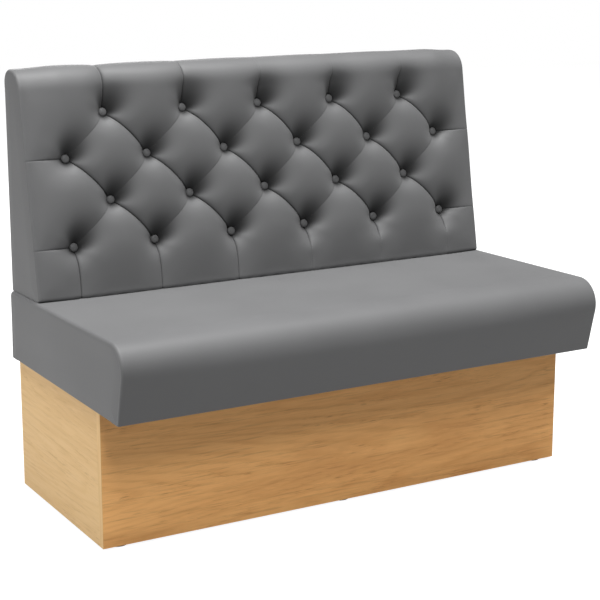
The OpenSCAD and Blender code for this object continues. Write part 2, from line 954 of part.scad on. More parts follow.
// Foam slab that folds over the top rail, drilled behind each button
module back_foam() {
    f = foam_face;
    t = top_soft_t + soft_gap;
    outline = back_outline(f, t, rear_layer, inner_front_r - soft_gap, inner_rear_r - soft_gap);
    over = [for (k = [0:len(outline) - 2]) outline[k]];
    gap = board_face - soft_gap;
    color(foam_colour)
        difference() {
            across(2 * back_half, concat(
                over,
                [
                    [back_frame_rear, rail_top_z + soft_gap],
                    face(s_at(rail_top_z + soft_gap, -gap), -gap),
                    face(foot_s(-gap), -gap)
                ]
            ));
            button_holes(foam_hole_r, board_face + overrun, foam_face - overrun);
        }
}

// Tufted cover with its wadding, from the foot up over the top to the rear
module back_cover() {
    n = len(COLUMNS) - 1;
    outer = [
        for (r = ROWS)
            [for (i = [0:n])
                let (
                    h = i == 0 || i == n ? -round_drop : tuft(COLUMNS[i], r[0]),
                    p = r[0] == 0 ? face(foot_s(h), h) : r[1] + h * r[2]
                )
                [COLUMNS[i], p[0], p[1]]]
    ];
    // A cell's diagonal follows the pleat that crosses its half diamond
    cell = function (k, first) floor((k - first) / cell_steps + tuft_rows) - tuft_rows;
    rising = function (k, i) (cell(k, foot_rows) + cell(max(1, i), 1)) % 2 != 0;
    color(grey)
        difference() {
            skin(outer, INNER_POINTS, back_half, rising);
            button_holes(tie_hole_r, soft_t + overrun, button_sink, $fn = hole_fn);
        }
}

module back_end_cover(side) {
    color(grey)
        translate([side * (back_half_full - end_cover_t / 2), 0, 0])
            across(end_cover_t, back_outline(
                end_cover_inset, end_cover_inset, end_cover_inset / 2,
                top_front_r - end_cover_inset, top_rear_r - end_cover_inset
            ));
}

module back_left_end_cover() {
    back_end_cover(-1);
}

module back_right_end_cover() {
    back_end_cover(1);
}

// Outside back: hardboard on the frame, and its cover
module back_outside_board() {
    top = back_top_z - lip_w - soft_gap;
    color("tan")
        across(2 * back_half, [
            [back_frame_rear, under_z(back_frame_rear)],
            [back_frame_rear, top],
            [back_frame_rear + outside_board_t, top],
            [back_frame_rear + outside_board_t, under_z(back_frame_rear + outside_board_t)]
        ]);
}

module back_outside_cover() {
    top = back_top_z - lip_w - soft_gap;
    front = back_frame_rear + outside_board_t + soft_gap;
    color(grey)
        across(2 * back_half, [
            [front, under_z(front)], [front, top], [seat_rear_y, top],
            [seat_rear_y, under_z(seat_rear_y)]
        ]);
}

// Covered buttons, each a domed cap that tapers to its shank
module back_buttons() {
    r = button_d / 2;
    dome_r = (r * r + dome_h * dome_h) / (2 * dome_h);
    dome = arc([0, dome_h - dome_r], dome_r, right_angle, asin((dome_r - dome_h) / dome_r), crown_steps);
    color(grey)
        for (b = BUTTONS)
            on_slope(b[0], b[1], -button_sink)
                rotate_extrude()
                    polygon(concat(
                        dome,
                        [
                            [r, -rim_h], [shank_r, -rim_h - cone_h],
                            [shank_r, -head_below], [0, -head_below]
                        ]
                    ));
}

// Twine from each button's shank back to its knot behind the washer
module button_ties() {
    tail = frame_face + washer_t + knot_r / 2;
    start = button_sink + head_below;
    color("beige")
        for (b = BUTTONS)
            on_slope(b[0], b[1], -tail - knot_r / 2) {
                cylinder(h = tail + knot_r / 2 - start, r = tie_r);
                cylinder(h = knot_r, r = knot_r);
            }
}

module button_washers() {
    color(steel)
        for (b = BUTTONS)
            on_slope(b[0], b[1], -frame_face - washer_t)
                difference() {
                    cylinder(h = washer_t, r = washer_r);
                    translate([0, 0, -overrun])
                        cylinder(h = washer_t + 2 * overrun, r = tie_hole_r);
                }
}

// Bolts up through the seat into the backrest's bottom rail
module bolt_places() {
    for (share = bolt_shares)
        translate([share * seat_w, bolt_y, 0])
            children();
}

module bolt_holes(low, high) {
    bolt_places()
        translate([0, 0, low])
            cylinder(h = high - low, r = bolt_hole_r);
}

module back_bolts() {
    color(steel)
        bolt_places() {
            translate([0, 0, frame_top - bolt_washer_t])
                cylinder(h = bolt_washer_t, r = bolt_washer_r);
            translate([0, 0, frame_top - bolt_washer_t - bolt_head_h])
                cylinder(h = bolt_head_h, r = nut_r, $fn = 6);
            translate([0, 0, frame_top - bolt_washer_t])
                cylinder(h = bottom_rail_top + nut_h + bolt_tail - frame_top + bolt_washer_t, r = bolt_d / 2);
        }
}

module back_bolt_nuts() {
    color(steel)
        bolt_places()
            translate([0, 0, bottom_rail_top])
                difference() {
                    union() {
                        cylinder(h = bolt_washer_t, r = bolt_washer_r);
                        cylinder(h = nut_h, r = nut_r, $fn = 6);
                    }
                    translate([0, 0, -overrun])
                        cylinder(h = nut_h + 2 * overrun, r = bolt_d / 2 + hole_gap);
                }
}

plinth_front_panel();
plinth_left_panel();
plinth_right_panel();
plinth_back_panel();
plinth_divider();
plinth_edge_bands();
plinth_corner_battens();
plinth_top_cleats();
plinth_foot_blocks();
plinth_screws();
foot_inserts();
front_left_pad();
front_middle_pad();
front_right_pad();
rear_left_pad();
rear_middle_pad();
rear_right_pad();
front_left_stem();
front_middle_stem();
front_right_stem();
rear_left_stem();
rear_middle_stem();
rear_right_stem();
seat_front_rail();
seat_rear_rail();
seat_end_rails();
seat_cross_rails();
seat_corner_blocks();
seat_board();
seat_riser_rails();
seat_foam();
seat_cover();
seat_left_end_cover();
seat_right_end_cover();
seat_bottom_cloth();
seat_fixing_screws();
back_bottom_rail();
back_top_rail();
back_left_end_board();
back_right_end_board();
back_ribs();
back_board();
back_foam();
back_cover();
back_left_end_cover();
back_right_end_cover();
back_outside_board();
back_outside_cover();
back_buttons();
button_ties();
button_washers();
back_bolts();
back_bolt_nuts();
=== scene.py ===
"""Looks of the upholstered banquette bench: tufted back, seat, buttons, oak plinth and hidden parts."""

import math
from collections import namedtuple

import bmesh
import bpy
import numpy as np
from mathutils import Matrix, Vector


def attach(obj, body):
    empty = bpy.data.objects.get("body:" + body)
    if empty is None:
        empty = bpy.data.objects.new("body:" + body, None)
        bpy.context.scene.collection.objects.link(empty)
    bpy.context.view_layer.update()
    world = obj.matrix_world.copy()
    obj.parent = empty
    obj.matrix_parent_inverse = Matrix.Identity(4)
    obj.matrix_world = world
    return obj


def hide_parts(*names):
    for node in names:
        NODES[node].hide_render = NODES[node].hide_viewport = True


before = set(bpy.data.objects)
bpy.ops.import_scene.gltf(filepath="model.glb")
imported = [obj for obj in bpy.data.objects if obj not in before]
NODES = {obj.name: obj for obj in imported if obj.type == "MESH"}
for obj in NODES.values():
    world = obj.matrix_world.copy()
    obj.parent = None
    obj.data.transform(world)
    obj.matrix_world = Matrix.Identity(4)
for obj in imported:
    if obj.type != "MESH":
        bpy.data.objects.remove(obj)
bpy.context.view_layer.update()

# Sizes in metres, as in the part's source
SEAT_HALF, SEAT_FRONT, SEAT_REAR = 0.600, -0.315, 0.315
SEAT_TOP, SEAT_BOTTOM = 0.473, 0.304
NOSE_R, LEAN, FALL = 0.052, math.radians(11.7), math.radians(1)
NOSE_Y, NOSE_Z = SEAT_FRONT + NOSE_R, SEAT_TOP - NOSE_R
BACK_HALF, BACK_DEPTH, BACK_H, RAKE = 0.597, 0.172, 0.504, math.radians(10)
TOP_FRONT_R, TOP_REAR_R, LIP = 0.052, 0.030, 0.042
FOOT_Y, FOOT_GAP = SEAT_REAR - BACK_DEPTH, 0.0003


def seat_top(y):
    """Height of the seat's top face, which falls towards the rear."""
    return NOSE_Z + NOSE_R / math.cos(FALL) - (y - NOSE_Y) * math.tan(FALL)


def seat_front(z):
    """Place of the seat's leaning front face."""
    low = NOSE_Z - NOSE_R * math.sin(LEAN)
    return NOSE_Y - NOSE_R * math.cos(LEAN) + (low - z) * math.tan(LEAN)


FOOT_Z = seat_top(FOOT_Y) + FOOT_GAP
BACK_TOP = FOOT_Z + BACK_H


# Materials
def add_node(tree, kind, values=(), **props):
    """A shader node with its properties, and its inputs set or linked."""
    n = tree.nodes.new(kind)
    for key, value in props.items():
        setattr(n, key, value)
    for key, value in dict(values).items():
        if isinstance(value, bpy.types.NodeSocket):
            tree.links.new(value, n.inputs[key])
        else:
            n.inputs[key].default_value = value
    return n


class Shader:
    """A material under construction, on a Principled node."""

    def __init__(self, name, colour, roughness, **fixed):
        self.material = bpy.data.materials.new(name)
        self.material.use_nodes = True
        self.tree = self.material.node_tree
        self.bsdf = self.tree.nodes["Principled BSDF"]
        self.bsdf.inputs["Base Color"].default_value = (*colour, 1)
        self.bsdf.inputs["Roughness"].default_value = roughness
        for key, value in fixed.items():
            self.bsdf.inputs[key.replace("_", " ")].default_value = value
        self.coords = self.add("ShaderNodeTexCoord").outputs["Object"]

    def add(self, kind, values=(), **props):
        return add_node(self.tree, kind, values, **props)

    def link(self, value, name):
        self.tree.links.new(value, self.bsdf.inputs[name])

    def scaled(self, scale, turn=(0, 0, 0)):
        values = {"Vector": self.coords, "Scale": scale, "Rotation": turn}
        return self.add("ShaderNodeMapping", values).outputs[0]

    def noise(self, vector, scale, detail, rough, distortion=0.0):
        values = {"Vector": vector, "Scale": scale, "Detail": detail, "Roughness": rough,
                  "Distortion": distortion}
        return self.add("ShaderNodeTexNoise", values).outputs["Fac"]

    def math(self, operation, a, b=0.0):
        return self.add("ShaderNodeMath", {0: a, 1: b}, operation=operation).outputs[0]

    def ramp(self, value, *stops):
        n = self.add("ShaderNodeValToRGB", {"Fac": value})
        points = n.color_ramp.elements
        while len(points) < len(stops):
            points.new(0.5)
        for p, (at, colour) in zip(points, stops):
            p.position = at
            p.color = (*colour, 1)
        return n.outputs["Color"]

    def grey(self, value, *stops):
        return self.ramp(value, *[(at, (g, g, g)) for at, g in stops])

    def mix(self, share, first, second):
        """The first colour, with a share of the second."""
        colours = [(*c, 1) if isinstance(c, tuple) else c for c in (first, second)]
        values = {0: share, 6: colours[0], 7: colours[1]}
        return self.add("ShaderNodeMix", values, data_type="RGBA").outputs[2]

    def bump(self, height, strength, distance, after=None):
        values = {"Height": height, "Strength": strength, "Distance": distance}
        if after is not None:
            values["Normal"] = after
        return self.add("ShaderNodeBump", values).outputs[0]

    def roughness_from(self, value, low, high):
        """Roughness from low to high, as a noise goes from dark to light."""
        values = {"Value": value, "From Min": 0.3, "From Max": 0.7, "To Min": low, "To Max": high}
        self.link(self.add("ShaderNodeMapRange", values).outputs[0], "Roughness")


def shade(colour, share):
    return tuple(c * share for c in colour)


def leather(name, colour, pleats=False):
    """Smooth grained hide: fine pebble grain, a soft mottle, and painted shade in the creases."""
    s = Shader(name, colour, 0.54, Sheen_Weight=0.10, Sheen_Roughness=0.5, Specular_IOR_Level=0.28)
    mottle = s.noise(s.coords, 5.0, 4, 0.55)
    fine = s.noise(s.coords, 160.0, 3, 0.6)
    dark, light, painted_shade_tone = shade(colour, 0.955), shade(colour, 1.045), shade(colour, 0.14)
    tone = s.mix(s.grey(mottle, (0.32, 0), (0.68, 1)), dark, light)
    tone = s.mix(s.math("MULTIPLY", fine, 0.12), tone, dark)
    # painted shade: with pleats, a point attribute darkens the hide in the creases, round the buttons and
    # along the foot
    if pleats:
        crease = s.add("ShaderNodeAttribute", attribute_name="crease").outputs["Fac"]
        tone = s.mix(crease, tone, painted_shade_tone)
    s.link(tone, "Base Color")
    s.roughness_from(mottle, 0.50, 0.58)
    cells = s.add("ShaderNodeTexVoronoi", {"Vector": s.coords, "Scale": 950.0, "Randomness": 1.0},
                  feature="DISTANCE_TO_EDGE").outputs["Distance"]
    pebbles = s.bump(s.grey(cells, (0.0, 0.0), (0.12, 0.75), (0.5, 1.0)), 0.16, 0.00012)
    s.link(s.bump(s.noise(s.coords, 45.0, 4, 0.5), 0.05, 0.0005, pebbles), "Normal")
    return s.material


def oak(name, light, mid, dark, turn=(0, 0, 0), seed=0.0):
    """Oak veneer, its grain along X before the turn: growth rings, fibres and short dark pores."""
    s = Shader(name, mid, 0.5, Specular_IOR_Level=0.3)
    base = s.scaled((1, 1, 1), turn)

    def grain(along, across, detail, rough, distortion=0.0, push=0.0):
        """Noise stretched along the grain. The push keeps two layers apart."""
        values = {"Vector": base, "Scale": (along, across, across),
                  "Location": (seed + push, seed * 0.7 - push, seed * 1.3)}
        place = s.add("ShaderNodeMapping", values).outputs[0]
        return s.noise(place, 1.0, detail, rough, distortion)

    field = grain(0.40, 5.0, 1, 0.4, 0.1)
    wander = grain(3.0, 34.0, 4, 0.6, 0.1)
    rings = s.math("ADD", s.math("MULTIPLY", field, 30.0), s.math("MULTIPLY", wander, 1.8))
    wave = s.math("FRACT", rings)
    tone = s.ramp(wave, (0.0, mid), (0.25, light), (0.70, light), (0.92, mid), (1.0, mid))
    fibres = grain(6.0, 330.0, 5, 0.7)
    tone = s.mix(s.grey(fibres, (0.36, 0.0), (0.66, 0.6)), tone, mid)
    broad = grain(1.0, 7.0, 3, 0.5, push=4.0)
    tone = s.mix(s.grey(broad, (0.35, 0.0), (0.70, 0.5)), tone, light)
    patches = grain(1.5, 9.0, 5, 0.65, 0.5, push=21.0)
    brown = tuple(0.62 * m + 0.38 * d for m, d in zip(mid, dark))
    tone = s.mix(s.grey(patches, (0.47, 0.0), (0.66, 0.60)), tone, brown)
    streaks = grain(9.0, 190.0, 4, 0.62, 0.25, push=9.0)
    tone = s.mix(s.grey(streaks, (0.54, 0.0), (0.70, 0.36)), tone, dark)
    flames = grain(7.0, 60.0, 5, 0.6, 0.5, push=14.0)
    tone = s.mix(s.grey(flames, (0.52, 0.0), (0.68, 0.6)), tone, light)

    # pores lie in the late wood of each ring, and only in some stretches
    pores = s.grey(grain(34.0, 520.0, 2, 0.5, push=2.0), (0.54, 0.0), (0.64, 1.0))
    stretches = s.grey(grain(2.6, 22.0, 3, 0.6, push=6.0), (0.42, 0.0), (0.60, 1.0))
    late = s.grey(wave, (0.55, 0.2), (0.85, 1.0), (1.0, 0.3))
    pore = s.math("MULTIPLY", s.math("MULTIPLY", pores, stretches), late)
    tone = s.mix(s.math("MULTIPLY", pore, 0.62), tone, dark)
    s.link(tone, "Base Color")
    s.roughness_from(fibres, 0.46, 0.60)
    s.link(s.bump(pore, -0.25, 0.0002, s.bump(fibres, 0.12, 0.0002)), "Normal")
    return s.material


def plain_wood(name, colour, plies=False):
    """Softwood, or plywood with the lines of its plies."""
    s = Shader(name, colour, 0.62)
    grain = s.noise(s.scaled((4, 60, 60)), 1.0, 4, 0.6, 0.3)
    dark = shade(colour, 0.72)
    tone = s.mix(s.grey(grain, (0.35, 0.0), (0.7, 1.0)), colour, dark)
    if plies:
        height = s.add("ShaderNodeSeparateXYZ", {0: s.coords}).outputs[2]
        wave = s.math("FRACT", s.math("MULTIPLY", height, 660.0))
        lines = s.grey(wave, (0.42, 0.0), (0.5, 1.0), (0.58, 0.0))
        tone = s.mix(s.math("MULTIPLY", lines, 0.25), tone, dark)
    s.link(tone, "Base Color")
    s.link(s.bump(grain, 0.2, 0.0003), "Normal")
    return s.material


def speckled(name, colour, roughness, scale, contrast, bump, **fixed):
    """A plain material with fine speckles."""
    s = Shader(name, colour, roughness, **fixed)
    n = s.noise(s.coords, scale, 4, 0.6)
    s.link(s.mix(s.grey(n, (0.35, 0.0), (0.65, 1.0)), shade(colour, 1 - contrast), colour), "Base Color")
    s.link(s.bump(n, bump, 0.0003), "Normal")
    return s.material


QUARTER = math.pi / 2
HIDE = (0.102, 0.1025, 0.104)
BACK_HIDE = leather("grained_hide_back", HIDE, pleats=True)
SEAT_HIDE = leather("grained_hide_seat", HIDE)
OAK_FRONT = oak("oak_front", (0.93, 0.505, 0.186), (0.80, 0.395, 0.132), (0.38, 0.150, 0.043), seed=3.1)
OAK_END = oak("oak_end", (0.78, 0.52, 0.238), (0.727, 0.468, 0.201), (0.48, 0.27, 0.099),
              turn=(0, 0, QUARTER), seed=8.4)
OAK_BAND = oak("oak_band", (0.78, 0.51, 0.226), (0.725, 0.462, 0.194), (0.49, 0.283, 0.104),
               turn=(0, QUARTER, 0), seed=1.7)
SOFTWOOD = plain_wood("softwood", (0.62, 0.44, 0.25))
PLYWOOD = plain_wood("plywood", (0.56, 0.40, 0.23), plies=True)
HARDBOARD = speckled("hardboard", (0.22, 0.13, 0.07), 0.7, 300.0, 0.35, 0.1)
FOAM = speckled("upholstery_foam", (0.72, 0.64, 0.42), 0.9, 700.0, 0.30, 0.6)
CLOTH = speckled("black_cloth", (0.02, 0.02, 0.022), 0.85, 900.0, 0.4, 0.4)
TWINE = speckled("twine", (0.50, 0.42, 0.28), 0.8, 1500.0, 0.35, 0.5)
PLASTIC = speckled("black_plastic", (0.018, 0.018, 0.019), 0.5, 500.0, 0.2, 0.15)
ZINC = speckled("zinc_steel", (0.58, 0.58, 0.55), 0.34, 220.0, 0.12, 0.08, Metallic=1.0)

NODES_OF = (
    (OAK_FRONT, ("plinth_front_panel", "plinth_back_panel")),
    (OAK_END, ("plinth_left_panel", "plinth_right_panel")),
    (OAK_BAND, ("plinth_edge_bands",)),
    (ZINC, ("foot_inserts", "button_washers", "back_bolts", "back_bolt_nuts")),
    (PLYWOOD, ("seat_board", "back_board", "back_left_end_board", "back_right_end_board", "back_ribs",
               "plinth_divider")),
    (HARDBOARD, ("back_outside_board",)),
    (TWINE, ("button_ties",)))


def material_of(name):
    """The material of a node of the CAD."""
    if name.endswith("_pad"):
        return PLASTIC
    if name.endswith("_stem") or "screws" in name:
        return ZINC
    return next((material for material, names in NODES_OF if name in names), SOFTWOOD)


for name, node in NODES.items():
    node.data.materials.clear()
    node.data.materials.append(material_of(name))


# Meshes
def placed(name, data):
    """An object in the scene with this data."""
    o = bpy.data.objects.new(name, data)
    bpy.context.scene.collection.objects.link(o)
    return o


def make(name, verts, faces, material):
    """An object of its own with smooth faces."""
    mesh = bpy.data.meshes.new(name)
    mesh.from_pydata([tuple(map(float, v)) for v in verts], [], faces)
    mesh.materials.append(material)
    mesh.polygons.foreach_set("use_smooth", [True] * len(mesh.polygons))
    return placed(name, mesh)


def welded(o, distance):
    """The object with points joined that lie this close, and all faces turned outwards."""
    b = bmesh.new()
    b.from_mesh(o.data)
    bmesh.ops.remove_doubles(b, verts=b.verts, dist=distance)
    bmesh.ops.recalc_face_normals(b, faces=b.faces)
    b.to_mesh(o.data)
    b.free()
    return o


def grid_faces(rows, cols, first=0):
    """Faces of a grid whose points are numbered row by row."""
    corners = [first + i * cols + j for i in range(rows - 1) for j in range(cols - 1)]
    return [(q, q + 1, q + cols + 1, q + cols) for q in corners]


def ring_faces(rings, n):
    """Faces between closed rings of n points each, and one over the last ring."""
    faces = [(r * n + i, r * n + (i + 1) % n, (r + 1) * n + (i + 1) % n, (r + 1) * n + i)
             for r in range(rings - 1) for i in range(n)]
    return faces + [tuple(range((rings - 1) * n, rings * n))]


def resampled(values, old_rows, old_cols, rows, cols, rounds):
    """Vectors on a coarse grid brought to a finer one, then evened out a few rounds."""
    out = np.empty((len(rows), len(cols), 3))
    for c in range(3):
        across = np.array([np.interp(cols, old_cols, row) for row in values[..., c]])
        out[..., c] = np.array([np.interp(rows, old_rows, column) for column in across.T]).T
    for _ in range(rounds):
        out[1:-1, 1:-1] = (out[1:-1, 1:-1] * 2 + out[:-2, 1:-1] + out[2:, 1:-1]
                           + out[1:-1, :-2] + out[1:-1, 2:]) / 6
    return out


# Lines in a plane
def unit(v):
    return v / np.linalg.norm(v)


def right_of(u):
    return np.array([u[1], -u[0]])


def rotated(v, angle):
    return np.array([v[0] * math.cos(angle) - v[1] * math.sin(angle),
                     v[0] * math.sin(angle) + v[1] * math.cos(angle)])


def lengths(line):
    """How far along the line each of its points lies."""
    return np.concatenate([[0], np.cumsum(np.linalg.norm(np.diff(line, axis=0), axis=1))])


def points_at(line, k, t):
    """The line's points at the places t, where its own points are at the places k."""
    return np.stack([np.interp(t, k, line[:, i]) for i in (0, 1)], -1)


def mitred(corner, before, after, d):
    """A corner between two directions, moved to their right by d."""
    both = right_of(before) + right_of(after)
    return corner + both * d / (both @ right_of(before))


def inset_line(points, d):
    """The open line moved to its right-hand side by d, corner by corner."""
    points = [np.array(p, float) for p in points]
    dirs = [unit(b - a) for a, b in zip(points[:-1], points[1:])]
    middle = [mitred(p, u, v, d) for p, u, v in zip(points[1:-1], dirs[:-1], dirs[1:])]
    return [points[0] + right_of(dirs[0]) * d, *middle, points[-1] + right_of(dirs[-1]) * d]


def slide(line, k, j, z):
    """Moves corner k along its line to corner j until it is at height z."""
    line[k] = line[k] + (line[j] - line[k]) * (z - line[k][1]) / (line[j][1] - line[k][1])


class Path:
    """A line in (Y, Z) with rounded corners, and an inner line with as many points."""

    STEP, ARC_STEP, ARC_LEAST = 0.002, 0.09, 4

    def __init__(self, points, radii, inner_points, inner_radii):
        self.arcs = []
        for k in range(1, len(points) - 1):
            turn = abs(self.turn(*points[k - 1:k + 2]))
            self.arcs.append(max(self.ARC_LEAST, int(turn * radii[k] / self.STEP), int(turn / self.ARC_STEP)))
        self.straights = []
        self.outer = self.rounded(points, radii)
        self.inner = self.rounded(inner_points, inner_radii)
        self.lengths = lengths(self.outer)
        d = np.gradient(self.outer, axis=0)
        n = np.stack([-d[:, 1], d[:, 0]], 1)
        self.normals = n / np.linalg.norm(n, axis=1, keepdims=True)

    @staticmethod
    def turn(a, b, c):
        u, v = np.subtract(b, a), np.subtract(c, b)
        return math.atan2(u[0] * v[1] - u[1] * v[0], float(np.dot(u, v)))

    def rounded(self, points, radii):
        """The line's points. The first call settles how many each straight stretch has."""
        points = [np.array(p, float) for p in points]
        out, at = [], points[0]
        for k in range(1, len(points)):
            start = points[k]
            is_corner = k < len(points) - 1
            if is_corner:
                u, v = unit(points[k] - points[k - 1]), unit(points[k + 1] - points[k])
                turn = self.turn(*points[k - 1:k + 2])
                cut = radii[k] * math.tan(abs(turn) / 2)
                start = points[k] - u * cut
            if len(self.straights) < k:
                self.straights.append(max(2, int(np.linalg.norm(start - at) / self.STEP)))
            m = self.straights[k - 1]
            out += [at + (start - at) * i / m for i in range(m)]
            if is_corner:
                centre = start - math.copysign(1, turn) * radii[k] * right_of(u)
                n = self.arcs[k - 1]
                out += [centre + rotated(start - centre, turn * i / n) for i in range(n)]
                at = points[k] + v * cut
        out.append(points[-1])
        return np.array(out)

    def at(self, s, inset=0.0):
        """Points at the length s, moved towards the inner line by a share inset."""
        p, q = (points_at(line, self.lengths, s) for line in (self.outer, self.inner))
        return p + (q - p) * np.asarray(inset)[..., None]

    def normal(self, s):
        n = points_at(self.normals, self.lengths, s)
        return n / np.linalg.norm(n, axis=-1, keepdims=True)


def wrap(path, x, s, h, half, rim, depth):
    """Points h above a cover, whose ends turn round a rim onto the sides, down to a depth."""
    past = np.abs(x) - (half - rim)
    phi = np.clip(past / rim, 0, QUARTER)
    down = rim * (1 - np.cos(phi)) + np.clip(past - rim * QUARTER, 0, None)
    out = np.minimum(np.abs(x), half - rim) + rim * np.sin(phi) + h * np.sin(phi)
    q = path.at(s, down / depth) + path.normal(s) * (h * np.cos(phi))[..., None]
    return np.stack([np.sign(x) * out, q[..., 0], q[..., 1]], -1)


# Flat panels: points on each corner and each edge, and the least radius
ARC_POINTS, EDGE_POINTS, LEAST_R = 9, 8, 0.0006


def ring(corners, radii, d):
    """A closed loop with rounded corners, moved by d to its inside, which is on its right."""
    n = len(corners)
    c = [np.array(p, float) for p in corners]
    dirs = [unit(c[(k + 1) % n] - c[k]) for k in range(n)]
    at = [mitred(c[k], dirs[k - 1], dirs[k], d) for k in range(n)]
    arcs, ends = [], []
    for k in range(n):
        turn = math.acos(np.clip(dirs[k - 1] @ dirs[k], -1, 1))
        r = max(radii[k] - d, LEAST_R)
        cut = r * math.tan(turn / 2)
        start = at[k] - dirs[k - 1] * cut
        centre = start + r * right_of(dirs[k - 1])
        arcs.append([centre + rotated(start - centre, -turn * i / ARC_POINTS) for i in range(ARC_POINTS)])
        ends.append(at[k] + dirs[k] * cut)
    out = []
    for k in range(n):
        to_next = arcs[(k + 1) % n][0] - ends[k]
        out += arcs[k] + [ends[k] + to_next * i / EDGE_POINTS for i in range(EDGE_POINTS)]
    return np.array(out)


# from the seam inwards: how far in, and how far out of the side
PANEL_EDGE = ((-0.0010, -0.0008), (-0.0003, -0.0004), (0.0001, -0.0002), (0.0005, -0.0001), (0.0011, 0.0),
              (0.004, 0.0002), (0.010, 0.0006), (0.018, 0.0011), (0.028, 0.0015))


def end_panel(name, corners, radii, half, side):
    """A slightly crowned panel of hide on one side, inside the cover's seam line."""
    verts = []
    for inward, out in PANEL_EDGE:
        verts += [(side * (half + out), y, z) for y, z in ring(corners, radii, inward)]
    faces = ring_faces(len(PANEL_EDGE), len(verts) // len(PANEL_EDGE))
    if side > 0:
        faces = [f[::-1] for f in faces]
    return make(name, verts, faces, SEAT_HIDE)


# Cloth: frames, how far it may push a point, the two covers' pressures, and settings
FRAMES, MOST_PUSH = 20, 0.005
BACK_PRESSURE, SEAT_PRESSURE = 4.0, 0.4
HIDE_CLOTH = {"quality": 5, "mass": 0.3, "air_damping": 4.0, "tension_stiffness": 25.0,
              "compression_stiffness": 25.0, "shear_stiffness": 12.0, "bending_stiffness": 1.0,
              "use_pressure": True, "vertex_group_mass": "held"}


def inflate(points, faces, held, pressure):
    """How Blender's Cloth, filled by pressure, moves the points outwards, 0 at the held ones."""
    points = np.asarray(points, float)
    o = make("cloth", points, faces, SEAT_HIDE)
    group = o.vertex_groups.new(name="held")
    group.add([int(i) for i in np.flatnonzero(held)], 1.0, "REPLACE")
    cloth = o.modifiers.new("cloth", "CLOTH")
    for key, value in HIDE_CLOTH.items():
        setattr(cloth.settings, key, value)
    cloth.settings.uniform_pressure_force = pressure
    cloth.settings.effector_weights.gravity = 0.0
    cloth.point_cache.frame_start, cloth.point_cache.frame_end = 1, FRAMES
    for f in range(1, FRAMES + 1):
        bpy.context.scene.frame_set(f)
    settled = o.evaluated_get(bpy.context.evaluated_depsgraph_get())
    now, normal = np.empty(len(points) * 3), np.empty(len(points) * 3)
    settled.data.vertices.foreach_get("co", now)
    o.data.vertices.foreach_get("normal", normal)
    bpy.context.scene.frame_set(1)
    bpy.data.objects.remove(o)
    offset, normal = now.reshape(-1, 3) - points, normal.reshape(-1, 3)
    out = np.sum(offset * normal, axis=1, keepdims=True)
    # the foam under it lets nothing move inwards
    return normal * MOST_PUSH * np.tanh(np.maximum(out, 0) / MOST_PUSH)


# Backrest: its cover's line from under the foot up the front, over the top and down the rear
RIM, SEAM_DEPTH = 0.006, 0.009
UNDER, FOOT_R, FOOT_INNER_R = 0.020, 0.005, 0.002
SEAM_LIFT, REAR_INSET = 0.002, 0.003
TOP_INNER_RADII = (TOP_FRONT_R - SEAM_DEPTH, TOP_REAR_R - RIM)
FACE = BACK_H / math.cos(RAKE)
back_line = [(FOOT_Y + UNDER, FOOT_Z - UNDER * math.tan(FALL)), (FOOT_Y, FOOT_Z),
             (FOOT_Y + FACE * math.sin(RAKE), BACK_TOP), (SEAT_REAR, BACK_TOP), (SEAT_REAR, BACK_TOP - LIP)]
back_seam = inset_line(back_line, SEAM_DEPTH)
slide(back_seam, 1, 2, FOOT_Z + SEAM_LIFT)
back_seam[0] = np.array([back_line[0][0], FOOT_Z + SEAM_LIFT])
for k in (3, 4):
    back_seam[k][0] = SEAT_REAR - REAR_INSET
BACK = Path(back_line, [0, FOOT_R, TOP_FRONT_R, TOP_REAR_R, 0],
            back_seam, [0, FOOT_INNER_R, *TOP_INNER_RADII, 0])

# A place on the face is (x, s), with s measured up the face from the foot's corner
FOOT_TURN = QUARTER + RAKE - FALL
S_SHIFT = UNDER / math.cos(FALL) - 2 * FOOT_R * math.tan(FOOT_TURN / 2) + FOOT_R * FOOT_TURN
S_LOW, S_HIGH = 0.0005 - S_SHIFT, BACK.lengths[-1] - S_SHIFT
X_OUT = BACK_HALF - RIM + RIM * QUARTER + (SEAM_DEPTH - RIM)

# Rows of 6, 5, 6 and 5 buttons from the foot up
COLUMNS = 6
PITCH = 2 * BACK_HALF / COLUMNS
FIRST, LAST = 0.115, FACE - 0.099
ROW = (LAST - FIRST) / 3
ROWS = [[((i - (n - 1) / 2) * PITCH, FIRST + j * ROW) for i in range(n)]
        for j, n in enumerate((COLUMNS, COLUMNS - 1, COLUMNS, COLUMNS - 1))]
BUTTONS = np.array([b for row in ROWS for b in row])

# A kind of pleat: its groove's share of the deepest, how dark its line of painted shade is, how deep and how
# round its valley is
Kind = namedtuple("Kind", "depth dark valley round")
CRISP, SOFT = Kind(1.0, 0.08, 0.96, 0.0), Kind(0.28, 0.40, 0.66, 0.0065)
TO_END, STRAIGHT = Kind(0.7, 0.40, 0.96, 0.0), Kind(0.85, 0.30, 0.96, 0.0)
# A pleat, and the share of it that is left at the foot or over the top
Pleat = namedtuple("Pleat", "line kind left")
AT_FOOT_SHARES = (1.0, 1.0, 0.95, 0.30, 0.15, 0.20)
OVER_TOP_SHARES = (1.0, 0.6, 0.15, 0.10, 0.10)
# A field of hide: its lines below, at the right, above and at the left, its pleats, and its points
Field = namedtuple("Field", "lines pleats cols rows")
FINE, LONG, TALL, SHORT = 44, 61, 70, 36
LINE_POINTS, JOINED_POINTS = 41, 161


def curve(a, b, bow=0.0, sway=0.0):
    """A line from a to b, bowed to the left of its direction, or swaying."""
    a, b = np.array(a, float), np.array(b, float)
    t = np.linspace(0, 1, LINE_POINTS)
    off = bow * np.sin(math.pi * t) + sway * np.sin(2 * math.pi * t)
    return a + t[:, None] * (b - a) - off[:, None] * right_of(unit(b - a))


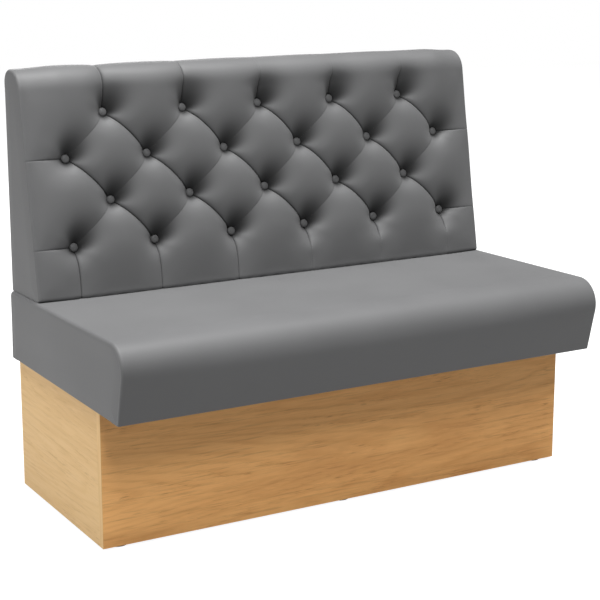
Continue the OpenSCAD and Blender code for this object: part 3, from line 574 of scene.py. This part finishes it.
def diagonal(low, high):
    """The pleat between two neighbours: crisp where it leans to the left, else soft."""
    if high[0] < low[0]:
        return Pleat(curve(low, high, bow=-0.0035), CRISP, 1)
    return Pleat(curve(low, high, bow=-0.001, sway=0.0008), SOFT, 1)


def join(first, second):
    """Two lines end to end, with even steps and the corner between them kept."""
    line = np.concatenate([first, second[1:]])
    k = lengths(line)
    t = np.unique(np.concatenate([np.linspace(0, k[-1], JOINED_POINTS), [k[len(first) - 1]]]))
    return points_at(line, k, t)


def flip(line):
    return line[::-1]


def coons(bottom, right, top, left, u, v):
    """The surface between four lines. Bottom and top run with u, left and right with v."""
    def on(line, t):
        return points_at(line, np.linspace(0, 1, len(line)), t)
    b, t, l, r = on(bottom, u), on(top, u), on(left, v), on(right, v)
    u, v = u[..., None], v[..., None]
    corners = ((1 - u) * (1 - v) * bottom[0] + u * (1 - v) * bottom[-1]
               + (1 - u) * v * top[0] + u * v * top[-1])
    return (1 - v) * b + v * t + (1 - u) * l + u * r - corners


def spread(n):
    """Places from 0 to 1, dense towards both ends."""
    t = np.linspace(0, 1, n)
    return 0.12 * t + 0.88 * (0.5 - 0.5 * np.cos(math.pi * t))


def distance(points, line):
    """How far each point is from the line."""
    best = np.full(len(points), np.inf)
    for a, b in zip(line[:-1], line[1:]):
        d = b - a
        t = np.clip(((points - a) @ d) / (d @ d), 0, 1)
        best = np.minimum(best, np.linalg.norm(points - a - t[:, None] * d, axis=1))
    return best


def smooth(t):
    t = np.clip(t, 0, 1)
    return t * t * (3 - 2 * t)


def at_least(share, t):
    return share + (1 - share) * t


# Puffs: height, steepness and reach, how full they get, and where they get flat
PUFF_H, PUFF_POWER, PUFF_REACH, BASE = 0.0150, 0.50, 0.14, 0.0005
FULL_SHARE, MOST_SHARE, MOST_POWER = 0.75, 1.25, 5
CROWN, CROWN_RUN, CROWN_SHARE = LAST + 0.060, 0.085, 0.18
END_RUN, FOOT_RUN, FOOT_SHARE = 0.095, 0.13, 0.32
HEM_FLAT, HEM_RUN = 0.01, 0.06
# Where pleats fade: from over the last row, or under this height, within this run
FADE_OVER, FADE_UNDER, FADE_RUN = 0.035, 0.085, 0.040
# Grooves: depth, width, sharpness, and what is left of them at the top and the ends
GROOVE, GROOVE_W, GROOVE_POWER = 0.0015, 0.0014, 1.5
GROOVE_TOP_SHARE, GROOVE_END_SHARE, GROOVE_FOOT_RUN, GROOVE_HEM_RUN = 0.25, 0.45, 0.004, 0.04
# Pits round the buttons: depth, flat middle, width, how much wider upwards, and which way that is
PIT, PIT_FLAT, PIT_W, PIT_LONGER, PIT_BLEND = 0.0300, 0.006, 0.016, 0.018, 3
ABOVE, ABOVE_POWER = np.array((0.50, 0.866)), 1.3
# Round a button: share, flat middle, width, and, for hold and painted shade, how much wider upwards and how
# steep
SHADOW, SHADOW_FLAT, SHADOW_W = 0.98, 0.009, 0.008
TIGHT_ROUND, PAINTED_SHADE_ROUND = (0.050, 1.3), (0.044, 2.2)
# The painted shadow line at the foot, and the hide's way under it
FOOT_SHADOW, FOOT_START, FOOT_SHADOW_W = 0.95, 0.0005, 0.0035
TUCK_FROM, TUCK = -0.001, 0.006
# What holds the cloth: tight pleats, the buttons, and the ends, the foot and the hem of the cover
GROOVE_HOLD, HELD_FROM, HELD_BUTTON = 0.75, 0.25, 0.011
HELD_END, HELD_FOOT, HELD_HEM = BACK_HALF - 0.012, 0.004, S_HIGH - 0.03


def round_buttons(far, above, longer, power):
    """A share that is full at a button and falls off round it, more slowly upwards."""
    past = np.maximum(far - SHADOW_FLAT, 0) / (SHADOW_W + longer * above)
    return np.max(SHADOW * np.exp(-past ** power), axis=1)


def tuft(points, pleats):
    """Height of the tufted face over the plain one, how tight each point is, and how much painted shade it
    gets.
    """
    x, s = points[:, 0], points[:, 1]
    ease_top = 1 - smooth((s - CROWN) / CROWN_RUN)
    ease_end = smooth((BACK_HALF - RIM - np.abs(x)) / END_RUN)
    ease_foot = at_least(FOOT_SHARE, smooth(s / FOOT_RUN))
    ease_hem = smooth((S_HIGH - HEM_FLAT - s) / HEM_RUN)
    ease = ease_end * ease_foot * at_least(CROWN_SHARE, ease_top) * ease_hem
    past = np.where(s > LAST, s - LAST - FADE_OVER, FADE_UNDER - s)
    fill, crease, line = np.ones(len(points)), np.zeros(len(points)), np.zeros(len(points))
    for pleat in pleats:
        d = distance(points, pleat.line)
        fade = 1 - (1 - pleat.left) * smooth(past / FADE_RUN)
        t = np.clip(np.hypot(d, pleat.kind.round) / PUFF_REACH, 0, 1)
        fill *= 1 - pleat.kind.valley * fade * (1 - (2 * t - t * t) ** PUFF_POWER)
        groove = fade * np.exp(-(d / GROOVE_W) ** GROOVE_POWER)
        crease = np.maximum(crease, pleat.kind.depth * groove)
        # painted shade along each pleat's groove, as dark as its kind says
        line = np.maximum(line, pleat.kind.dark * groove)
    fill = fill / FULL_SHARE ** (4 * PUFF_POWER)
    fill = fill / (1 + (fill / MOST_SHARE) ** MOST_POWER) ** (1 / MOST_POWER)

    away = points[:, None, :] - BUTTONS[None]
    far = np.maximum(np.linalg.norm(away, axis=2), 1e-6)
    above = np.clip((away @ ABOVE) / far, 0, 1) ** ABOVE_POWER
    pits = np.exp(-np.maximum(far - PIT_FLAT, 0) / (PIT_W + PIT_LONGER * above))
    pit = np.sum(pits ** PIT_BLEND, axis=1) ** (1 / PIT_BLEND)
    ease_groove = (at_least(GROOVE_TOP_SHARE, ease_top) * at_least(GROOVE_END_SHARE, ease_end)
                   * smooth(1 + s / GROOVE_FOOT_RUN) * smooth((S_HIGH - s) / GROOVE_HEM_RUN))
    h = BASE * ease + ease * PUFF_H * fill - PIT * pit - GROOVE * crease * ease_groove
    h = np.where(s < TUCK_FROM, h * smooth((s + TUCK) / TUCK), h)

    # painted shadow along the foot, which also holds the cloth there
    foot = FOOT_SHADOW * (1 - smooth((s - FOOT_START) / FOOT_SHADOW_W))
    tight = np.maximum(GROOVE_HOLD * crease * ease_groove, round_buttons(far, above, *TIGHT_ROUND))
    # painted shade: the crease lines, and patches round the buttons that reach further upwards
    dark = np.maximum(line * ease_groove, round_buttons(far, above, *PAINTED_SHADE_ROUND))
    return h, np.maximum(tight, foot), np.maximum(dark, foot)


def patch(field, cols, rows):
    """A field's places on the face, its points in space, how tight they are and how much painted shade they
    get.
    """
    u, v = np.meshgrid(spread(cols), spread(rows))
    p = coons(*field.lines, u, v).reshape(-1, 2)
    h, tight, dark = tuft(p, field.pleats)
    xyz = wrap(BACK, p[:, 0], p[:, 1] + S_SHIFT, h, BACK_HALF, RIM, SEAM_DEPTH)
    return p, xyz, tight, dark


def end_fields(links, foot, over, right):
    """Three fields at one end: between the pleats that run out to it, and the corners."""
    x, e, f = (X_OUT, COLUMNS - 1, COLUMNS - 2) if right else (-X_OUT, 0, 0)
    low_s, high_s = ROWS[0][e][1], ROWS[2][e][1]
    low, high = (Pleat(curve(ROWS[j][e], (x, ROWS[j][e][1])), TO_END, 1) for j in (0, 2))

    def field(bottom, outer, top, inner, pleats, cols, rows):
        """Bottom and top are given outwards, the outer and the inner line upwards."""
        lines = (bottom, outer, top, inner) if right else (flip(bottom), inner, flip(top), outer)
        return Field(lines, pleats, cols, rows)

    a, b, c = links[0, e, f], links[1, f, e], links[2, e, f]
    base = curve((ROWS[0][e][0], S_LOW), (x, S_LOW))
    top = curve((ROWS[3][f][0], S_HIGH), (x, S_HIGH))
    return [
        field(low.line, curve((x, low_s), (x, high_s)), high.line, join(a.line, b.line),
              [low, high, a, b], FINE, LONG),
        field(base, curve((x, S_LOW), (x, low_s)), low.line, flip(foot[e].line),
              [low, foot[e]], FINE, SHORT),
        field(join(flip(c.line), high.line), curve((x, high_s), (x, S_HIGH)), top, over[f].line,
              [high, c, over[f]], LONG, TALL),
    ]


def back_fields():
    """All fields of the tufted face: diamonds, over the foot, over the top, and at the ends."""
    links = {(j, a, b): diagonal(low, high)
             for j in range(3) for a, low in enumerate(ROWS[j]) for b, high in enumerate(ROWS[j + 1])
             if abs(low[0] - high[0]) < PITCH * 0.6}
    foot = [Pleat(curve(b, (b[0], S_LOW), bow=0.0015), STRAIGHT, left)
            for b, left in zip(ROWS[0], AT_FOOT_SHARES)]
    over = [Pleat(curve(b, (b[0], S_HIGH)), STRAIGHT, left) for b, left in zip(ROWS[3], OVER_TOP_SHARES)]
    fields = []
    for j in (0, 1):
        for k in range(len(ROWS[j + 1]) - 1):
            tip = k + 1 if j == 0 else k
            pleats = [links[key] for key in
                      ((j, tip, k), (j, tip, k + 1), (j + 1, k, tip), (j + 1, k + 1, tip))]
            low_left, low_right, high_left, high_right = (p.line for p in pleats)
            fields.append(Field((low_right, high_right, high_left, low_left), pleats, FINE, FINE))
    for k in range(COLUMNS - 1):
        a, b = links[0, k, k], links[0, k + 1, k]
        base = curve((ROWS[0][k][0], S_LOW), (ROWS[0][k + 1][0], S_LOW))
        lines = (base, flip(foot[k + 1].line), join(a.line, flip(b.line)), flip(foot[k].line))
        fields.append(Field(lines, [a, b, foot[k], foot[k + 1]], LONG, FINE))
    for k in range(COLUMNS - 2):
        a, b = links[2, k + 1, k], links[2, k + 1, k + 1]
        high = curve((ROWS[3][k][0], S_HIGH), (ROWS[3][k + 1][0], S_HIGH))
        lines = (join(flip(a.line), b.line), over[k + 1].line, high, over[k].line)
        fields.append(Field(lines, [a, b, over[k], over[k + 1]], LONG, TALL))
    for right in (False, True):
        fields += end_fields(links, foot, over, right)
    return fields


def half_as_many(field):
    """Columns and rows of the coarser grid that the cloth works on."""
    return field.cols // 2 + 1, field.rows // 2 + 1


def back_push(fields):
    """The cloth's push on each field, held at its pleats, the buttons and the cover's edges."""
    points, faces, held = [], [], []
    for field in fields:
        cols, rows = half_as_many(field)
        p, xyz, tight, _ = patch(field, cols, rows)
        border = np.ones((rows, cols), bool)
        border[1:-1, 1:-1] = False
        far = np.min(np.linalg.norm(p[:, None, :] - BUTTONS[None], axis=2), axis=1)
        edge = (np.abs(p[:, 0]) > HELD_END) | (p[:, 1] < HELD_FOOT) | (p[:, 1] > HELD_HEM)
        faces += grid_faces(rows, cols, sum(len(q) for q in points))
        points.append(xyz)
        held.append(border.ravel() | (far < HELD_BUTTON) | (tight > HELD_FROM) | edge)
    push = inflate(np.concatenate(points), faces, np.concatenate(held), BACK_PRESSURE)
    parts = np.split(push, np.cumsum([len(q) for q in points])[:-1])
    return [part.reshape(*half_as_many(field)[::-1], 3) for field, part in zip(fields, parts)]


def back_cover():
    """One grid for each field between pleats, pushed out by the cloth and welded into one hide."""
    verts, faces, painted_shades = [], [], []
    fields = back_fields()
    for field, push in zip(fields, back_push(fields)):
        _, xyz, _, dark = patch(field, field.cols, field.rows)
        rows, cols = push.shape[:2]
        push = resampled(push, np.arange(rows), np.arange(cols), np.linspace(0, rows - 1, field.rows),
                         np.linspace(0, cols - 1, field.cols), rounds=4)
        faces += grid_faces(field.rows, field.cols, len(verts))
        verts += (xyz + push.reshape(-1, 3)).tolist()
        painted_shades += dark.tolist()
    o = make("tufted_back_cover", verts, faces, BACK_HIDE)
    # the painted shade of the creases, the pits and the foot goes to the hide's colour through this point
    # attribute
    layer = o.data.attributes.new("crease", "FLOAT", "POINT")
    layer.data.foreach_set("value", np.array(painted_shades, np.float32))
    return welded(o, 0.00012)


back = back_cover()
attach(back, "bench")
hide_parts("back_cover")

# A button from its middle out and round to its shank, as radius and height
BUTTON_PROFILE = ((0.0, 0.0028), (0.002, 0.0027), (0.004, 0.0024), (0.006, 0.0018), (0.0076, 0.0011),
                  (0.0087, 0.0003), (0.0095, -0.0007), (0.0099, -0.0018), (0.0099, -0.0028),
                  (0.0094, -0.0038), (0.0080, -0.0052), (0.0050, -0.0070), (0.0022, -0.0080),
                  (0.0022, -0.0090))
BUTTON_SUNK, BUTTON_SIDES = 0.0165, 40
GATHER, GATHERS, GATHERED_RINGS = 0.00012, 10, range(5, 11)


def buttons():
    """Covered buttons: a domed cap with gathers at its rim, one at each place."""
    n = BUTTON_SIDES
    angles = [2 * math.pi * i / n for i in range(n)]
    verts, faces = [], []
    for x, s in BUTTONS:
        arc = np.array([s + S_SHIFT])
        p, normal = BACK.at(arc)[0], BACK.normal(arc)[0]
        origin = Vector((x, p[0] - normal[0] * BUTTON_SUNK, p[1] - normal[1] * BUTTON_SUNK))
        out, along = Vector((0, normal[0], normal[1])), Vector((1, 0, 0))
        up = out.cross(along)
        base = len(verts)
        verts.append(origin + out * BUTTON_PROFILE[0][1])
        for k, (r, z) in enumerate(BUTTON_PROFILE[1:]):
            for a in angles:
                gather = GATHER * math.cos(GATHERS * a) if k in GATHERED_RINGS else 0
                verts.append(origin + out * z + (along * math.cos(a) + up * math.sin(a)) * (r + gather))
        faces += [(base, base + 1 + i, base + 1 + (i + 1) % n) for i in range(n)]
        last = base + 1 + (len(BUTTON_PROFILE) - 2) * n
        for q in range(base + 1, last, n):
            faces += [(q + i, q + n + i, q + n + (i + 1) % n, q + (i + 1) % n) for i in range(n)]
        faces.append(tuple(last + i for i in range(n)))
    return welded(make("covered_buttons", verts, faces, SEAT_HIDE), 1e-7)


caps = buttons()
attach(caps, "bench")
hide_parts("back_buttons")

SIDES = ((-1, "left"), (1, "right"))
# The end panels reach down to the seat, and stay inside the seam
PANEL_FRONT, PANEL_REAR, PANEL_LIFT = back_seam[1][0] - 0.001, SEAT_REAR - 0.0022, 0.0004
PANEL_RADII = (0.002, *TOP_INNER_RADII, 0.003)
panel_corners = [(PANEL_FRONT, seat_top(PANEL_FRONT) + PANEL_LIFT), back_seam[2],
                 (PANEL_REAR, back_seam[3][1]), (PANEL_REAR, seat_top(PANEL_REAR) + PANEL_LIFT)]
for side, word in SIDES:
    o = end_panel(f"back_{word}_end_panel", panel_corners, PANEL_RADII, BACK_HALF, side)
    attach(o, "bench")
    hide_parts(f"back_{word}_end_cover")

# Seat: the ends' rounding at the rear, the nose and the hem, and the seam's depth
RIM_REAR, RIM_NOSE, RIM_LOW, SEAT_SEAM = 0.007, 0.006, 0.004, 0.010
SEAT_OUT = SEAT_HALF + 0.0032
HEM, HEM_R, REAR_R, SEAM_LOW_R, SEAM_REAR_R = 0.032, 0.003, 0.012, 0.002, 0.004
# the hide bridges the foam's nose in a rounder line, and is full above the hem
NOSE_LOOK, LEAN_LOOK = 0.058, math.radians(14)
low_front = np.array([seat_front(SEAT_BOTTOM), SEAT_BOTTOM])
low_rear = np.array([SEAT_REAR, SEAT_BOTTOM])
# where the leaning front meets the falling top
corner_y = ((low_front[0] - (seat_top(0) - SEAT_BOTTOM) * math.tan(LEAN_LOOK))
            / (1 - math.tan(FALL) * math.tan(LEAN_LOOK)))
SEAT_CORNER = np.array([corner_y, seat_top(corner_y)])
seat_line = [low_front + (HEM, 0), low_front, SEAT_CORNER, np.array([SEAT_REAR, seat_top(SEAT_REAR)]),
             low_rear, low_rear - (HEM, 0)]
seat_seam = inset_line(seat_line, SEAT_SEAM)
slide(seat_seam, 1, 2, SEAT_BOTTOM + SEAM_LIFT)
slide(seat_seam, 4, 3, SEAT_BOTTOM + SEAM_LIFT)
for k in (0, -1):
    seat_seam[k][1] = SEAT_BOTTOM + SEAM_LIFT
SEAM_RADII = (SEAM_LOW_R, NOSE_LOOK - SEAT_SEAM, SEAM_REAR_R, SEAM_LOW_R)
SEAT = Path(seat_line, [0, HEM_R, NOSE_LOOK, REAR_R, HEM_R, 0], seat_seam, [0, *SEAM_RADII, 0])
# The crowns of the top and the front, where they end, and where the rims change
TOP_CROWN, FRONT_CROWN, CROWN_EDGE = 0.002, 0.0008, 0.1
TOP_FROM, FRONT_TO, FRONT_H = NOSE_Y - 0.03, -0.2, 0.15
RIM_FROM, RIM_RUN, RIM_RISE = NOSE_Y + 0.16, 0.18, 0.09
SEAT_HELD = 0.006


def seat_grid(codes, ss):
    """Points of the main cover. Codes run from -1 to 1 over its width, and to -3 and 3 down to the seams."""
    c, s = (v.ravel() for v in np.meshgrid(codes, ss))
    p, n = SEAT.at(s), SEAT.normal(s)
    y, z = p[:, 0], p[:, 1]
    rim = RIM_REAR + (RIM_NOSE - RIM_REAR) * smooth((RIM_FROM - y) / RIM_RUN)
    rim = RIM_LOW + (rim - RIM_LOW) * smooth((z - SEAT_BOTTOM) / RIM_RISE)
    width = np.minimum(np.abs(c), 1)
    phi = np.clip(np.abs(c) - 1, 0, 1) * QUARTER
    down = rim * (1 - np.cos(phi)) + np.clip(np.abs(c) - 2, 0, 1) * (SEAT_SEAM - rim)
    back_share = np.clip((y - TOP_FROM) / (FOOT_Y - TOP_FROM), 0, 1)
    up_share = np.clip((z - SEAT_BOTTOM) / FRONT_H, 0, 1)
    top = np.where((z > NOSE_Z) & (y < FOOT_Y), np.sin(math.pi * back_share), 0)
    front = np.where(y < FRONT_TO, np.sin(math.pi * up_share), 0)
    h = TOP_CROWN * (1 - width ** 2) * top + FRONT_CROWN * front * smooth((1 - width) / CROWN_EDGE)
    q = SEAT.at(s, down / SEAT_SEAM) + n * (h * np.cos(phi))[:, None]
    x = np.sign(c) * (width * (SEAT_OUT - rim) + rim * np.sin(phi))
    return p, np.stack([x, q[:, 0], q[:, 1]], -1)


def seat_cover():
    """The seat's main cover. Its cloth is held at the seams, the hems, the rear and under the backrest."""
    few, few_s = np.linspace(-1, 1, 73), np.linspace(0, SEAT.lengths[-1], 101)
    p, xyz = seat_grid(few, few_s)
    held = (np.tile(np.abs(few) == 1, len(few_s)) | (p[:, 0] > FOOT_Y - SEAT_HELD)
            | (p[:, 1] < SEAT_BOTTOM + SEAT_HELD))
    push = inflate(xyz, grid_faces(len(few_s), len(few)), held, SEAT_PRESSURE)
    round_end = np.concatenate([np.linspace(1, 2, 10)[1:], [2.5, 3]])
    codes = np.concatenate([-round_end[::-1], np.linspace(-1, 1, 181), round_end])
    ss = np.unique(np.concatenate([SEAT.lengths[::3], [SEAT.lengths[-1]]]))
    push = resampled(push.reshape(len(few_s), len(few), 3), few_s, few, ss, np.clip(codes, -1, 1), rounds=6)
    _, xyz = seat_grid(codes, ss)
    verts = (xyz + push.reshape(-1, 3)).tolist()
    return welded(make("seat_main_cover", verts, grid_faces(len(ss), len(codes)), SEAT_HIDE), 1e-6)


seat = seat_cover()
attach(seat, "bench")
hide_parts("seat_cover")
for side, word in SIDES:
    o = end_panel(f"seat_{word}_end_panel", seat_seam[1:5], SEAM_RADII, SEAT_OUT, side)
    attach(o, "bench")
    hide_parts(f"seat_{word}_end_cover")


# Foam, bottom cloth and outside back
def copy_of(node, name, material):
    """A soft piece with the shape of a node, in its place."""
    o = placed(name, NODES[node].data.copy())
    o.data.materials.clear()
    o.data.materials.append(material)
    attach(o, "bench")
    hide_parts(node)
    return o


def section(mesh):
    """Half the mesh's width, and the outline of its right end, in order, as (Y, Z)."""
    half = max(v.co.x for v in mesh.vertices)
    uses = {}
    for f in mesh.polygons:
        if all(mesh.vertices[k].co.x > half - 1e-5 for k in f.vertices):
            for e in f.edge_keys:
                uses[e] = uses.get(e, 0) + 1
    near = {}
    for a, b in (e for e, count in uses.items() if count == 1):
        near.setdefault(a, []).append(b)
        near.setdefault(b, []).append(a)
    loop, last = [min(near)], None
    while True:
        after = next(k for k in near[loop[-1]] if k != last)
        if after == loop[0]:
            break
        last = loop[-1]
        loop.append(after)
    return half, np.array([mesh.vertices[k].co.yz for k in loop])


UNDER_HIDE, FOAM_CORE = 0.0050, 0.06
# from an end of the foam inwards: how far in along X, and how far in from its outline
FOAM_EDGE = ((0.0, 0.014), (0.001, 0.009), (0.004, 0.004), (0.009, 0.001), (0.016, 0.0))


def foam_slab():
    """The seat's foam, its nose following the hide's and its ends rounded."""
    half, line = section(NODES["seat_foam"].data)
    turn_half = (QUARTER + LEAN_LOOK - FALL) / 2
    mid = QUARTER + FALL + turn_half
    outwards = np.array([math.cos(mid), math.sin(mid)])
    centre = SEAT_CORNER - outwards * NOSE_LOOK / math.cos(turn_half)
    r = line - centre
    size = np.linalg.norm(r, axis=1, keepdims=True)
    reach = NOSE_LOOK - UNDER_HIDE
    outside = (r[:, :1] < 0) & (r[:, 1:] > 0) & (size > reach)
    line = np.where(outside, centre + r / size * reach, line)
    y, z = line[:, 0], line[:, 1]
    core = np.stack([np.clip(y, y.min() + FOAM_CORE, y.max() - FOAM_CORE), np.full(len(line), z.mean())], 1)
    inward = (core - line) / np.linalg.norm(core - line, axis=1, keepdims=True)
    rings = [(-half + a, d) for a, d in FOAM_EDGE] + [(half - a, d) for a, d in reversed(FOAM_EDGE)]
    verts = []
    for x, d in rings:
        verts += [(x, y, z) for y, z in line + inward * d]
    *faces, last = ring_faces(len(rings), len(line))
    faces += [tuple(range(len(line))), last]
    return welded(make("seat_foam_block", verts, faces, FOAM), 1e-6)


OUTSIDE_HALF, OUTSIDE_LOW, OUTSIDE_HIGH = BACK_HALF - 0.0033, FOOT_Z - 0.0026, BACK_TOP - LIP + 0.0006
# from the edge of the outside hide inwards: how far in, and how far behind the rear face
OUTSIDE_EDGE = ((0.0, -0.0027), (0.0, -0.0016), (0.0002, -0.0009), (0.0007, -0.0004), (0.0014, -0.0001),
                (0.0024, 0.0), (0.0200, 0.0), (0.0600, 0.0))


def outside_hide():
    """The flat hide over the outside board, its edges turned in all round."""
    verts = []
    for inward, y in OUTSIDE_EDGE:
        w, low, high = OUTSIDE_HALF - inward, OUTSIDE_LOW + inward, OUTSIDE_HIGH - inward
        xs, zs = np.linspace(-w, w, 61), np.linspace(low, high, 25)
        loop = [(x, low) for x in xs[:-1]] + [(w, z) for z in zs[:-1]]
        loop += [(x, high) for x in xs[:0:-1]] + [(-w, z) for z in zs[:0:-1]]
        verts += [(x, SEAT_REAR + y, z) for x, z in loop]
    faces = ring_faces(len(OUTSIDE_EDGE), len(verts) // len(OUTSIDE_EDGE))
    return make("back_outside_hide", verts, [f[::-1] for f in faces], SEAT_HIDE)


piece = foam_slab()
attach(piece, "bench")
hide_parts("seat_foam")

piece = copy_of("back_foam", "back_foam_block", FOAM)

piece = copy_of("seat_bottom_cloth", "seat_dust_cloth", CLOTH)

piece = outside_hide()
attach(piece, "bench")
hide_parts("back_outside_cover")


# Floor, world, lamps and camera. A lamp has a place, a target, a size and its watts
FLOOR_HALF, FLOOR_COLOUR, FLOOR_LIFT = 9, (0.25, 0.25, 0.25), 0.912
WORLD_STRENGTH = 0.165
LAMPS = {"key_light": ((-0.6, -2.9, 4.2), (0, 0, 0.35), (2.6, 1.8), 146),
         "left_light": ((-3.0, 0.1, 1.7), (0, 0, 0.5), (1.6, 1.6), 36),
         "top_light": ((0.0, -0.40, 8.0), (0, -0.15, 0.5), (5.3, 2.65), 1090),
         "rear_light": ((1.0, 4.4, 1.7), (0, 0.3, 0.5), (2.6, 1.8), 55)}


def seen_by(tree, *kinds):
    """1 for rays of these kinds, and 0 for all others."""
    rays = add_node(tree, "ShaderNodeLightPath").outputs
    seen = rays[f"Is {kinds[0]} Ray"]
    for kind in kinds[1:]:
        values = {0: seen, 1: rays[f"Is {kind} Ray"]}
        seen = add_node(tree, "ShaderNodeMath", values, operation="MAXIMUM").outputs[0]
    return seen


def white_to_camera(name, colour, lift):
    """A matt floor that camera, glossy and see-through rays see lifted to white, with its shadow kept."""
    material = bpy.data.materials.new(name)
    material.use_nodes = True
    tree = material.node_tree
    tree.nodes.clear()
    seen = seen_by(tree, "Camera", "Glossy", "Transmission")
    strength = add_node(tree, "ShaderNodeMath", {0: seen, 1: lift}, operation="MULTIPLY").outputs[0]
    diffuse = add_node(tree, "ShaderNodeBsdfDiffuse", {"Color": (*colour, 1)}).outputs[0]
    glow = add_node(tree, "ShaderNodeEmission", {"Strength": strength}).outputs[0]
    both = add_node(tree, "ShaderNodeAddShader", {0: diffuse, 1: glow}).outputs[0]
    add_node(tree, "ShaderNodeOutputMaterial", {"Surface": both})
    return material


def white_world(strength):
    """A world of this strength that camera and see-through rays see as white."""
    world = bpy.data.worlds.new("studio")
    world.use_nodes = True
    tree = world.node_tree
    seen = seen_by(tree, "Camera", "Transmission")
    shown = add_node(tree, "ShaderNodeMix", {0: seen, 2: strength, 3: 1.0}, data_type="FLOAT").outputs[0]
    background = tree.nodes["Background"]
    background.inputs["Color"].default_value = (1, 1, 1, 1)
    tree.links.new(shown, background.inputs["Strength"])
    return world


def area(name, at, target, size, power):
    """A rectangular lamp that looks at its target."""
    light = bpy.data.lights.new(name, "AREA")
    light.shape = "RECTANGLE"
    light.size, light.size_y = size
    light.energy = power
    o = placed(name, light)
    o.location = at
    o.rotation_euler = (Vector(target) - Vector(at)).to_track_quat("-Z", "Y").to_euler()


floor_corners = [(x * FLOOR_HALF, y * FLOOR_HALF, 0) for x, y in ((-1, -1), (1, -1), (1, 1), (-1, 1))]
pale_floor = white_to_camera("pale_floor", FLOOR_COLOUR, FLOOR_LIFT)
floor = make("floor", floor_corners, [(0, 1, 2, 3)], pale_floor)

bpy.context.scene.world = white_world(WORLD_STRENGTH)
for name, values in LAMPS.items():
    area(name, *values)

# The photo's camera, with its focal length and centre in pixels
PHOTO_SIZE, FOCAL, CENTRE_X, CENTRE_Y, SENSOR = 600, 1571.13, 302.85, 275.13, 36
CAMERA_AT = (-1.7887, -3.06188, 1.273)
HEADING, TILT, ROLL = (math.radians(a) for a in (-30.179, -12.409, -0.064))
camera_data = bpy.data.cameras.new("camera")
camera_data.sensor_width = SENSOR
camera_data.lens = FOCAL / PHOTO_SIZE * SENSOR
camera_data.shift_x = (PHOTO_SIZE / 2 - CENTRE_X) / PHOTO_SIZE
camera_data.shift_y = (CENTRE_Y - PHOTO_SIZE / 2) / PHOTO_SIZE
camera = placed("camera", camera_data)
bpy.context.scene.camera = camera
camera.matrix_world = Matrix.Translation(CAMERA_AT) @ (
    Matrix.Rotation(HEADING, 4, "Z") @ Matrix.Rotation(TILT, 4, "X")
    @ Matrix.Rotation(ROLL, 4, "Y") @ Matrix.Rotation(QUARTER, 4, "X"))

bpy.context.scene.view_settings.view_transform = "Standard"
